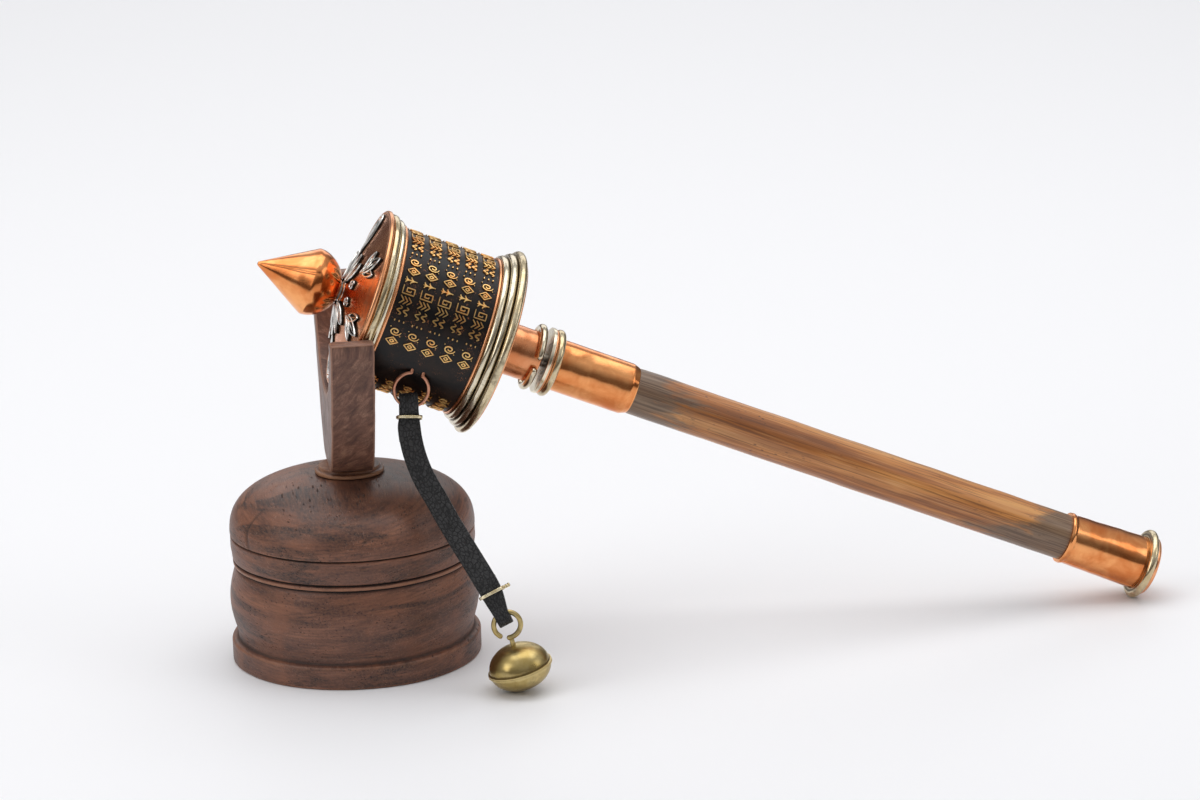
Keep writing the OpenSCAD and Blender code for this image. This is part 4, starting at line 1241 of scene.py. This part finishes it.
class WHEEL_OT_drum(Build, bpy.types.Operator):
    """Build the drum, its rings, its foot and its neck"""
    bl_idname = "prayer_wheel.drum"
    bl_label = "Drum"

    # Stations and angles of the two holes that carry the wire ring.
    feet = ((23.384, -62.03), (26.735, -62.03))
    bare = (-76.0, -45.0)

    def build(self):
        self.wall()
        s = settings("wheel_head")
        wall = span("drum_shell")[3]
        ring("brass_rim", "rim_brass_ring", "drum", "old_brass", wall, s.dent, 31)
        ring("steel_rim", "rim_steel_ring", "drum", "white_metal", wall, s.dent, 32)
        ring("copper_line_upper", "rim_copper_line", "drum", "copper", wall, s.dent / 2, 33)
        ring("copper_line_lower", "foot_line", "drum", "copper", wall, s.dent / 2, 34)
        ring("foot_bead_inner", "foot_ring_inner", "drum", "white_metal", wall, s.dent, 35)
        ring("foot_bead_middle", "foot_ring_middle", "drum", "white_metal", wall + 1.2 * MM, s.dent, 36)
        ring("foot_bead_outer", "foot_ring_outer", "drum", "old_brass", wall + 2.4 * MM, s.dent, 37)
        tube("bottom_cap", "bottom_plate", "drum", "copper",
             ((6.8, 46.4, 0), (25.8, 46.4, 0.2), (25.6, 46.9, 0.2), (7.5, 47.4, 0), (6.8, 47.4, 0)),
             wavy(9 * MM, 38, 0.02 * MM))
        tube("neck_tube", "neck_sleeve", "drum", "copper",
             ((6.8, 47.4, 0), (7.5, 47.4, 0), (7.5, 59.8, 0.2), (6.8, 59.8, 0)),
             wavy(5 * MM, 39, 0.04 * MM))
        self.neck_ring()

    def wall(self):
        """A thin cylinder. The rows field marks the ornament; the groove field darkens the two holes."""
        start, end, inner, outer = span("drum_shell")
        line = resample(outline((inner, start), (outer, start, 0), (outer, end, 0), (inner, end, 0),
                                (inner, start))[:-1],
                        240, closed=True)
        low, high = self.bare

        def rows(_, angle, line):
            turn = (angle - low) % 360
            return step(turn, high - low - 1, high - low + 3) * step(line[:, 0, None], inner, outer)

        def holes(_, angle, line):
            near = 0
            for station, turn in self.feet:
                away = ((angle - turn + 180) % 360 - 180) * math.radians(1) * outer
                near = near + np.exp(-(away**2 + (line[:, 1, None] - station * MM) ** 2) / (1.0 * MM) ** 2)
            return np.clip(near, 0, 1)

        shell = Shell()
        lathe(shell, line, WHEEL, 240, dents=wavy(14 * MM, 30, 0.03 * MM), rows=rows, groove=holes)
        shell.piece("drum_wall", black_patina(), "drum", "black_patina", "drum_shell")

    def neck_ring(self):
        """A round wire bent round the neck, open at the front, its two ends a little out of line."""
        start, end, inner, outer = span("neck_ring")
        gap = settings("wheel_handle").gap / 2
        a = np.linspace(-math.pi / 2 + gap, 1.5 * math.pi - gap, 170)
        out = outwards(a)
        apart = 0.12 * MM * np.linspace(-1, 1, len(a)) ** 5
        path = HUB + out * (inner + outer) / 2 + ((start + end) / 2 + apart)[:, None] * ALONG
        shell = Shell()
        wire(shell, path, (end - start) / 2 - 0.1 * MM, ALONG)
        shell.piece("split_neck_ring", metal_of("white_metal"), "drum", "white_metal", "neck_ring")


class WHEEL_OT_ornament(Build, bpy.types.Operator):
    """Raise the rows of invented ornament round the drum"""
    bl_idname = "prayer_wheel.ornament"
    bl_label = "Ornament"

    # Half of a mark's width in millimetres, and the largest shift of one.
    half_width = 1.3
    shift = 0.06
    first_seed = 70

    def build(self):
        """The seven motifs follow one another round each row, a little shifted and of uneven weight."""
        s = settings("wheel_head")
        low, high = WHEEL_OT_drum.bare
        pitch = (360 - high + low) / s.marks
        for number in range(1, 6):
            draw = np.random.RandomState(self.first_seed + number)
            start, end, inner, outer = span("relief_band_%d" % number)
            inner = span("drum_shell")[3] - 0.05 * MM
            size = np.array([self.half_width * MM, (end - start) / 2 - 0.2 * MM])
            shell = Shell()
            for k in range(s.marks):
                motif = MOTIFS[k % len(MOTIFS)]
                nudge = draw.uniform(-self.shift, self.shift, 2) * MM
                place = on_drum(high + (k + 0.5) * pitch, (start + end) / 2, inner)
                for part in motif:
                    stroke(shell, part * size + nudge, place, s.stroke * draw.uniform(0.9, 1.15),
                           (outer - inner) * draw.uniform(0.85, 1.0))
            shell.piece("ornament_band_%d" % number, metal_of("relief_copper"), "drum", "relief_copper",
                        "relief_band_%d" % number, sharp=55)


class WHEEL_OT_inside(Build, bpy.types.Operator):
    """Roll the paper and finish the parts that stay as they are in the frame"""
    bl_idname = "prayer_wheel.inside"
    bl_label = "Inside"

    kept = (("cradle_peg", "pale_wood"), ("core_tube", "pale_wood"), ("lower_bush", "pale_wood"),
            ("upper_bush", "pale_wood"), ("finial_washer", "dark_steel"), ("bell_pellet", "dark_steel"))

    def build(self):
        """The sheet is a spiral whose radius grows by one spacing each turn."""
        start, end, inner, outer = span("scroll")
        sheet = settings("wheel_head").sheet
        thick = 0.16 * MM
        turns = (outer - inner - 2 * thick) / sheet
        a = np.linspace(0, 2 * math.pi * turns, int(turns * 60))
        reach = inner + thick + sheet * a / (2 * math.pi)
        out = outwards(a)
        path = HUB + out * reach[:, None] + (start + end) / 2 * ALONG
        half = (end - start) / 2
        across = np.linspace(-half, half, 9)
        section = np.concatenate([np.stack([across, 0 * across - thick], -1),
                                  np.stack([across[::-1], 0 * across + thick], -1)])
        browned = step(np.abs(section[:, 0]), half - 2 * MM, half)
        shell = Shell()
        sweep(shell, path, ALONG, section, edge=browned[None])
        shell.piece("paper_scroll", scroll_paper(), "drum", "scroll_paper", "scroll")
        for node, slot in self.kept:
            made = frame["nodes"][node]
            made.data.materials.clear()
            made.data.materials.append(pale_wood() if slot == "pale_wood" else metal_of(slot))


# ---- Lid and finial ----

class LID_OT_build(Build, bpy.types.Operator):
    """Build the lid and its silver appliques"""
    bl_idname = "prayer_wheel.lid"
    bl_label = "Lid"

    flat = 3.86
    edge = 25.0
    turn = -12
    rise = 5.0
    # Where each kind of ornament stands round the cone, and the angle between a fan's leaves.
    drop_angles = (0, 180)
    leaf_angles = (-120, -63, 60, 117)
    curl_angles = (-106, -76, 74, 104)
    fan = 22

    def build(self):
        self.slope = math.atan(self.rise / (self.edge - self.flat))
        tube("lid_cone", "lid", "lid", "copper",
             ((2.06, 0, 0), (self.flat, 0, 0.3), (self.edge, self.rise, 0), (self.edge, 6.4, 0),
              (22.15, 6.4, 0),
              (22.15, 9.4, 0.1), (21.6, 9.4, 0.1), (21.6, 5.7, 0), (2.06, 0.9, 0)),
              wavy(8 * MM, 41, 0.03 * MM), count=220)
        ring("lid_edge", "lid_rim", "lid", "copper", None, 0.03 * MM, 42)
        self.teardrops()
        self.leaves()
        self.curls()
        self.palmettes()
        self.hub()

    def at(self, angle, start):
        return on_cone(angle + self.turn, start * MM, self.flat * MM, self.slope)

    def done(self, shell, name, node):
        shell.piece(name, blackened_silver(), "lid", "blackened_silver", node, sharp=55)

    def teardrops(self):
        """Two nested teardrop ribs on a blackened plate."""
        shell = Shell()
        for angle in self.drop_angles:
            place = self.at(angle, 12.2)
            plate(shell, drop(12.6 * MM, 5.2 * MM), place, 0.3 * MM)
            stroke(shell, drop(12.2 * MM, 4.8 * MM) + [0.2 * MM, 0], place, 0.7 * MM, 0.75 * MM, True)
            stroke(shell, drop(6.4 * MM, 2.4 * MM) + [4.9 * MM, 0], place, 0.55 * MM, 0.65 * MM, True)
        self.done(shell, "teardrops", "lid_teardrops")

    def leaf(self, shell, length, width, place, turn=0.0, shift=0.0, rib=0.5, height=0.75):
        """A petal-shaped plate with a raised rim and a raised middle rib, turned in its own plane."""
        a = math.radians(turn)
        spin = np.array([[math.cos(a), math.sin(a)], [-math.sin(a), math.cos(a)]])
        move = lambda flat: flat @ spin + [shift * MM, 0]
        plate(shell, move(petal(length * MM, width * MM)), place, 0.35 * MM)
        stroke(shell, move(petal(length * MM, width * 0.86 * MM)), place, rib * MM, height * MM, True)
        middle = np.stack([np.linspace(0.1, 0.85, 9) * length * MM, np.zeros(9)], -1)
        stroke(shell, move(middle), place, rib * 0.8 * MM, height * 0.9 * MM)

    def leaves(self):
        """Three lobes from one foot."""
        shell = Shell()
        for angle in self.leaf_angles:
            place = self.at(angle, 13)
            for side in (-30, 30):
                self.leaf(shell, 7.5, 2.7, place, side, 1.0, 0.6, 0.85)
            self.leaf(shell, 11, 3.4, place, 0.0, 0.0, 0.6, 0.9)
        self.done(shell, "acanthus", "lid_leaves")

    def curls(self):
        """One tight spiral each."""
        shell = Shell()
        for k, angle in enumerate(self.curl_angles):
            turn = 560 if k % 2 else -560
            stroke(shell, spiral(0, 0, 1.6 * MM, 0.25 * MM, 0, turn, 30), self.at(angle, 9), 0.65 * MM,
                   0.8 * MM)
        self.done(shell, "curls", "lid_curls")

    def palmettes(self):
        """Two fans of five narrow leaves."""
        shell = Shell()
        for angle in self.drop_angles:
            for k in range(-2, 3):
                self.leaf(shell, 8.6, 2.7, self.at(angle + self.fan * k, 4.0), rib=0.5, height=0.95)
        self.done(shell, "palmettes", "lotus_petals")

    def hub(self):
        """A low turned cap round the spindle."""
        at = [tuple(v * MM for v in c) for c in ((2.06, -0.55), (2.6, -0.55, 0.1), (3.4, -0.2, 0.15),
                                                 (3.5, 0), (2.06, 0))]
        shell = Shell()
        lathe(shell, resample(outline(*at, at[0])[:-1], 50, closed=True), WHEEL, 120, crest=lambda *_: 0.8)
        self.done(shell, "hub_cap", "lotus_hub")


class FINIAL_OT_build(Build, bpy.types.Operator):
    """Build the pointed finial and the spindle that it sits on"""
    bl_idname = "prayer_wheel.finial"
    bl_label = "Finial and spindle"

    def build(self):
        self.cone()
        start, end, _, radius = span("spindle")
        shell = Shell()
        line = outline((0, start), (radius, start, 0.3 * MM), (radius, end, 0.3 * MM), (0, end))
        lathe(shell, resample(line, 120), WHEEL, 64, closed=False)
        shell.piece("steel_spindle", metal_of("dark_steel"), "handle", "dark_steel", "spindle")

    def cone(self):
        """A cone whose shoulder turns into an ellipse behind it, with long shallow flutes and one seam."""
        tip, end, _, wide_r = span("finial")
        wide = -9.6 * MM
        a = np.radians(np.linspace(6, 75, 30))
        back = np.stack([wide_r * np.cos(a), wide + 9.0 * MM * np.sin(a)], -1)
        front = outline((0, tip), (0.5 * MM, tip + 0.1 * MM, 0.3 * MM), (wide_r, wide, 1.8 * MM),
                        tuple(back[0]))
        bore = outline(tuple(back[-1]), (2.06 * MM, end, 0.1 * MM), (2.06 * MM, wide + 1 * MM, 0),
                       (0, wide + 1 * MM))
        line = resample(np.concatenate([front, back[1:-1], bore]), 180, focus=0.2 * MM)

        def hammered(grid, angle, station, radius):
            out = radius > 2.3 * MM
            share = step(radius, 1 * MM, wide_r)
            flute = 0.05 * MM * np.sin(np.radians(angle * 9)) * step(station, wide,
                                                                     tip + 4 * MM) * (station < wide)
            away = (angle + 118 + 180) % 360 - 180
            seam = 0.16 * MM * np.exp(-(away / 2.2) ** 2) * (station < wide + 1 * MM)
            slow = 0.05 * MM * (1 - uneven(grid, 6 * MM, 51))
            return -1.0 * out * share * (slow + seam + np.abs(flute))

        shell = Shell()
        lathe(shell, line, WHEEL, 220, closed=False, dents=hammered)
        shell.piece("finial_cone", metal_of("polished_copper"), "finial", "polished_copper", "finial")


# ---- Handle ----

class HANDLE_OT_build(Build, bpy.types.Operator):
    """Build the grip, its ferrules and their rings"""
    bl_idname = "prayer_wheel.handle"
    bl_label = "Handle"

    def build(self):
        seam = settings("wheel_handle").seam_depth
        tube("seat_disc", "ferrule_disc", "handle", "white_metal",
             ((2, 61.4, 0), (9.8, 61.4, 0.15), (9.8, 62.4, 0.15), (2, 62.4, 0)),
             wavy(6 * MM, 61, 0.02 * MM))
        tube("seat_edge", "disc_edge", "handle", "copper",
             ((2, 62.4, 0), (9.6, 62.4, 0.1), (9.6, 62.9, 0.1), (2, 62.9, 0)), wavy(5 * MM, 62, 0.02 * MM))
        ring("collar_bead", "collar_ring", "handle", "old_brass", None, 0.03 * MM, 63)
        tube("upper_ferrule_tube", "upper_ferrule", "handle", "polished_copper",
             ((6.75, 62.9, 0), (7.6, 62.9, 0), (7.6, 87.5, 0.8), (6.9, 89.4, 0.1), (6.75, 89.4, 0)),
             wavy(7 * MM, 64, 0.05 * MM), count=220)
        self.grip()
        tube("end_ferrule_tube", "end_ferrule", "handle", "polished_copper",
             ((6.75, 227.2, 0), (7.75, 227.2, 0.1), (7.9, 228.0, 0.3), (7.55, 228.9, 0.3),
              (8.1, 249.9, 0.5),
              (8.1, 254.2, 0), (6.75, 254.2, 0)), wavy(7 * MM, 65, 0.05 * MM, -35, seam), turns=320,
              count=220)
        ring("end_bead", "end_ring", "handle", "old_brass", None, 0.03 * MM, 66)
        start, end, _, radius = span("end_disc")
        line = outline((0, start), (radius, start, 0.1 * MM), (radius, start + 0.5 * MM, 0.15 * MM),
                       (radius - 0.4 * MM, end, 0.15 * MM), (0, end))
        shell = Shell()
        lathe(shell, resample(line, 80), WHEEL, 160, closed=False)
        shell.piece("end_cap", metal_of("copper"), "handle", "copper", "end_disc")

    def grip(self):
        """A cane bored for the spindle, a little uneven along its length."""
        start, end, _, radius = span("handle")
        near, far, core = 89.4 * MM, 227.2 * MM, 6.75 * MM
        line = outline((0, 130 * MM), (2 * MM, 130 * MM, 0), (2 * MM, start, 0), (core, start, 0),
                       (core, near, 0),
                       (radius, near, 0.08 * MM), (radius, far, 0.08 * MM), (core, far, 0), (core, end, 0),
                       (0, end))
        shell = Shell()
        lathe(shell, resample(line, 420), WHEEL, 160, closed=False,
              dents=lambda grid, angle, station,
              r: (r > 6.8 * MM) * 0.07 * MM * (uneven(grid, 16 * MM, 67) - 1))
        shell.piece("cane_grip", grip_wood(near, far), "handle", "grip_wood", "handle")


# ---- Hanging weight ----

# The wire ring on the drum and the loop over the bell: middle, radius and wire, in millimetres.
RING_C, RING_R, RING_WIRE = np.array([16.9, -20.4, 82.7]), 4.9, 0.55
LOOP_C, LOOP_R, LOOP_WIRE = np.array([38.9, -46.0, 19.6]), 3.8, 0.75
BELL_C, BELL_R, BELL_LEAN = np.array([42.1, -46.0, 6.85]), 8.9, math.radians(14)
BELL = (BELL_C * MM, np.array([math.cos(BELL_LEAN), 0, math.sin(BELL_LEAN)]), BACK,
        np.array([-math.sin(BELL_LEAN), 0, math.cos(BELL_LEAN)]))
# The strap's middle line between its bindings, its width's lean and its front ply's stand-off.
RUN = np.array([(16, -20.4, 74.6), (15.8, -21.2, 72.2), (16, -22.6, 68.6), (17, -25, 63.8),
                (18.8, -28, 58.8),
                (21.6, -31.6, 53.6), (24.6, -35.2, 47.8), (27.6, -38.4, 42.4), (30.6, -41.2, 37.2),
                (33.2, -43.6, 32.6), (35, -45, 28.9), (36, -45.8, 26.4)])
LEAN = np.array([0, 0, 6, 14, 22, 28, 30, 30, 30, 29, 27, 25.0])
STAND_OFF = np.array([0.9, 0.9, 0.95, 0.6, 0.2, 0, 0, 0, 0.5, 0.95, 0.9, 0.9])


def width_way(heading, lean):
    """The strap's width direction: leaning from level, and square to its path."""
    a = np.radians(lean)
    wide = np.stack([np.cos(a), 0 * a, np.sin(a)], -1)
    return unit(wide - heading * (wide * heading).sum(-1, keepdims=True))


def run_frames():
    """Heading, width and front directions at each point of the strap's middle line."""
    around = np.concatenate([RUN[:1], RUN, RUN[-1:]])
    heading = unit(around[2:] - around[:-2])
    wide = width_way(heading, LEAN)
    return heading, wide, np.cross(heading, wide)


class WEIGHT_OT_strap(Build, bpy.types.Operator):
    """Build the wire ring, the leather strap and its two bindings"""
    bl_idname = "prayer_wheel.strap"
    bl_label = "Strap"

    def build(self):
        self.c_ring()
        self.strap()
        s = settings("wheel_weight")
        ply = s.strap_thickness / 2 / MM + 0.2
        thick = s.strap_thickness / MM + 2 * ply
        self.binding("upper_binding", "upper_tie", 0, 6.1, thick + 1.0, False)
        self.binding("lower_binding", "lower_tie", len(RUN) - 2, 6.4, thick + 0.5, True)

    def c_ring(self):
        """An open circle of wire whose two ends bend in through the drum's wall."""
        a = np.radians(np.linspace(87.3, 407.3, 110))
        arc_path = RING_C + RING_R * np.stack([np.cos(a), 0 * a, np.sin(a)], -1)
        turn = math.radians(-25.57)
        inward = -(math.cos(turn) * DOWN + math.sin(turn) * BACK)
        leg = np.linspace(1.6, 0.25, 8)[:, None] * inward
        path = np.concatenate([arc_path[0] + leg, arc_path, (arc_path[-1] + leg)[::-1]]) * MM
        shell = Shell()
        wire(shell, resample(path, 170), (RING_WIRE - 0.03) * MM)
        shell.piece("c_ring", metal_of("copper_wire"), "hanger", "copper_wire", "hanger_ring")

    def fold(self, middle, beyond, before, radius, lean, up):
        """The leather's middle line over a half circle round a wire."""
        out = up * np.array([-math.sin(math.radians(lean)), 0, math.cos(math.radians(lean))])
        side = np.array([0, radius * up, 0])
        a = np.linspace(0, math.pi, 9)[:, None]
        return np.concatenate([[middle - out * before + side],
                               middle + out * (beyond + radius * np.sin(a)) + side * np.cos(a),
                               [middle - out * before - side]])

    def strap(self):
        """A rounded rectangle carried along a line that folds back on itself at both wires."""
        s = settings("wheel_weight")
        _, _, front = run_frames()
        ply = s.strap_thickness / 2 / MM + 0.2
        over = RING_C + [-0.9, 0, 0.1 - RING_R]
        under = LOOP_C + LOOP_R * np.array([-math.sin(math.radians(25)), 0, math.cos(math.radians(25))])
        wide = s.strap_width / MM
        back = RUN - front * ply
        line = np.concatenate([back[2::-1], self.fold(over, 1.4, 0.8, 1.6, 0, 1),
                               RUN + front * ply * STAND_OFF[:, None] / 0.9,
                               self.fold(under, 0.9, 0, 1.95, 25, -1), back[:-4:-1]])
        lean = np.concatenate([LEAN[2::-1], np.zeros(11), LEAN, np.full(11, 25.0), LEAN[:-4:-1]])
        width = np.concatenate([[wide, wide - 0.2, wide - 0.8], np.full(11, 5.2), [wide - 0.8, wide - 0.2],
                                np.full(len(RUN) - 4, wide), [wide - 0.3, wide - 1], np.full(11, 4.2),
                                [wide - 1, wide - 0.3, wide]])
        smooth = curve(np.column_stack([line, lean * 0.01, width]), 300)
        path, lean, width = smooth[:, :3], smooth[:, 3] * 100, smooth[:, 4]
        heading = unit(np.gradient(path, axis=0))
        across = width_way(heading, lean)
        face = np.cross(heading, across)
        thick = s.strap_thickness / MM
        corner = 0.32
        a = np.radians(np.linspace(0, 90, 4))
        parts = []
        for k, (sx, sy) in enumerate(((1, 1), (-1, 1), (-1, -1), (1, -1))):
            turn = a + k * math.pi / 2
            parts.append((sx, sy, corner * np.cos(turn), corner * np.sin(turn)))
        side_sign = np.concatenate([np.full(4, p[0]) for p in parts])
        face_sign = np.concatenate([np.full(4, p[1]) for p in parts])
        side_more, face_more = (np.concatenate([p[n] for p in parts]) for n in (2, 3))
        x = side_sign * (width[:, None] / 2 - corner) + side_more
        y = face_sign * (thick / 2 - corner) + face_more
        grid = (path[:, None] + across[:, None] * x[..., None] + face[:, None] * y[None, :, None]) * MM
        shell = Shell()
        shell.skin(grid, edge=0.8)
        shell.piece("leather_strap", strap_leather(), "hanger", "strap_leather", "strap", sharp=60)

    def binding(self, name, node, number, wide, thick, tail):
        """Two turns of wire round both plies; the lower one ends in a twisted tail."""
        heading, across, front = run_frames()
        a = np.linspace(0, 4 * math.pi, 150)
        power = 0.5
        x = np.sign(np.cos(a)) * np.abs(np.cos(a)) ** power * (wide / 2 + 0.35)
        y = np.sign(np.sin(a)) * np.abs(np.sin(a)) ** power * (thick / 2 + 0.35)
        z = np.linspace(-0.3, 0.3, len(a))
        place = RUN[number]
        path = (place + x[:, None] * across[number] + y[:, None] * front[number]
                + z[:, None] * heading[number])
        radius = settings("wheel_weight").tie_wire - 0.07 * MM
        shell = Shell()
        wire(shell, resample(path * MM, 200), radius, heading[number], 14)
        if tail:
            t = np.linspace(0, 1, 40)
            for turn in (0, math.pi):
                twist = turn + t * 3 * math.pi
                middle = place + (wide / 2 + 0.2 + 2.2 * t)[:, None] * across[number]
                off = 0.3 * (np.cos(twist)[:, None] * front[number]
                             + np.sin(twist)[:, None] * heading[number])
                wire(shell, (middle + off) * MM, radius * 0.9, heading[number], 10)
        shell.piece(name, metal_of("binding_wire"), "hanger", "binding_wire", node)


class WEIGHT_OT_bell(Build, bpy.types.Operator):
    """Build the bell's two halves and its wire loop"""
    bl_idname = "prayer_wheel.bell"
    bl_label = "Bell"

    def build(self):
        self.loop()
        self.top()
        self.bottom()

    def loop(self):
        """A thick wire bent to a circle that stays open beside the shank, and the shank under it."""
        a = np.radians(np.linspace(266, 266 + 342, 120))
        path = (LOOP_C + LOOP_R * np.stack([np.cos(a), 0 * a, np.sin(a)], -1)) * MM
        shell = Shell()
        wire(shell, path, (LOOP_WIRE - 0.02) * MM)
        foot = BELL[0] + np.linspace(6.0, 9.0, 14)[:, None] * MM * BELL[3]
        wire(shell, foot, (LOOP_WIRE - 0.05) * MM)
        shell.piece("wire_loop", metal_of("bell_brass"), "bell", "bell_brass", "bell_loop")

    def top(self):
        """A flattened dome with a flange, open in the middle for the shank."""
        wall = settings("wheel_weight").shell_wall / MM
        a = np.radians(np.linspace(8, 85, 30))
        outer = np.stack([BELL_R * np.cos(a), 7.0 * np.sin(a)], -1)
        inner = np.stack([(BELL_R - wall) * np.cos(a), (7.0 - wall) * np.sin(a)], -1)[::-1]
        line = np.concatenate([[[BELL_R - wall, 0], [BELL_R + 0.4, 0], [BELL_R + 0.4, 0.4],
                                [BELL_R - 0.02, 0.45]], outer, inner])
        shell = Shell()
        lathe(shell, resample(line * MM, 160, closed=True), BELL, 160, dents=lambda grid,
              *_: 0.05 * MM * (uneven(grid, 5 * MM, 71) - 1))
        shell.piece("bell_top", metal_of("bell_brass"), "bell", "bell_brass", "bell_upper")

    def bottom(self):
        """The lower dome. Its middle is cut by a slot with a round hole at each end: every row of points
        lies a share of the way from the rim to the slot's edge, whose distance depends on the angle."""
        wall = settings("wheel_weight").shell_wall / MM
        a = np.linspace(0, 2 * math.pi, 360, endpoint=False)
        sine = np.abs(np.sin(a))
        slot = np.minimum(0.8 / np.maximum(sine, 1e-6), 6.0)
        far = 6.0 * np.abs(np.cos(a)) + np.sqrt(np.clip(1.3**2 - 36 * sine**2, 0, None))
        slot = np.where(sine < 1.3 / 6, np.maximum(slot, far), slot)
        share = np.linspace(0, 1, 24)[:, None]
        rows = [(np.full_like(a, BELL_R - wall), 0 * a), (np.full_like(a, BELL_R + 0.4), 0 * a),
                (np.full_like(a, BELL_R + 0.4), 0 * a - 0.4)]
        reach = (BELL_R - 0.04) * (1 - share) + slot * share
        deep = 6.3 * np.sqrt(np.clip(1 - (reach / BELL_R) ** 2, 0, 1))
        reach_in = (BELL_R - wall - 0.04) * (1 - share) + slot * share
        deep_in = (6.3 - wall) * np.sqrt(np.clip(1 - (reach_in / (BELL_R - wall)) ** 2, 0, 1))
        r = np.concatenate([[row[0] for row in rows], reach, reach_in[::-1]]) * MM
        z = np.concatenate([[row[1] for row in rows], -deep, -deep_in[::-1]]) * MM
        spoke = np.cos(a)[:, None] * BELL[1] + np.sin(a)[:, None] * BELL[2]
        grid = BELL[0] + r[..., None] * spoke + z[..., None] * BELL[3]
        rim = np.zeros(r.shape)
        rim[1:4] = 0.8
        rim[len(rows) + 22:len(rows) + 26] = 0.7
        shell = Shell()
        shell.skin(grid, loop_rows=True, edge=rim)
        shell.piece("bell_bottom", metal_of("bell_brass"), "bell", "bell_brass", "bell_lower")


# ---- Panel and registration ----

POINTERS = {"wheel_stand": StandSettings, "wheel_head": WheelSettings, "wheel_handle": HandleSettings,
            "wheel_weight": WeightSettings, "wheel_stage": StageSettings}
PIECES = (STAND_OT_base, STAND_OT_cradle, WHEEL_OT_drum, WHEEL_OT_ornament, WHEEL_OT_inside, LID_OT_build,
          FINIAL_OT_build, HANDLE_OT_build, WEIGHT_OT_strap, WEIGHT_OT_bell)


class VIEW3D_PT_prayer_wheel(bpy.types.Panel):
    """Sizes and build steps of the prayer wheel"""
    bl_label = "Prayer Wheel"
    bl_space_type = "VIEW_3D"
    bl_region_type = "UI"
    bl_category = "Prayer Wheel"

    def draw(self, context):
        for name, kind in POINTERS.items():
            box = self.layout.box()
            for label in kind.__annotations__:
                box.prop(getattr(context.scene, name), label)
        for piece in (*PIECES, STAGE_OT_build):
            self.layout.operator(piece.bl_idname)


CLASSES = (*POINTERS.values(), *PIECES, STAGE_OT_build, VIEW3D_PT_prayer_wheel)


def register():
    for kind in CLASSES:
        bpy.utils.register_class(kind)
    for name, kind in POINTERS.items():
        setattr(bpy.types.Scene, name, bpy.props.PointerProperty(type=kind))


def unregister():
    for name in POINTERS:
        delattr(bpy.types.Scene, name)
    for kind in reversed(CLASSES):
        bpy.utils.unregister_class(kind)


def main():
    register()
    bpy.ops.prayer_wheel.base()
    bpy.ops.prayer_wheel.cradle()
    bpy.ops.prayer_wheel.drum()
    bpy.ops.prayer_wheel.ornament()
    bpy.ops.prayer_wheel.inside()
    bpy.ops.prayer_wheel.lid()
    bpy.ops.prayer_wheel.finial()
    bpy.ops.prayer_wheel.handle()
    bpy.ops.prayer_wheel.strap()
    bpy.ops.prayer_wheel.bell()
    bpy.ops.prayer_wheel.stage()


if __name__ == "__main__":
    main()
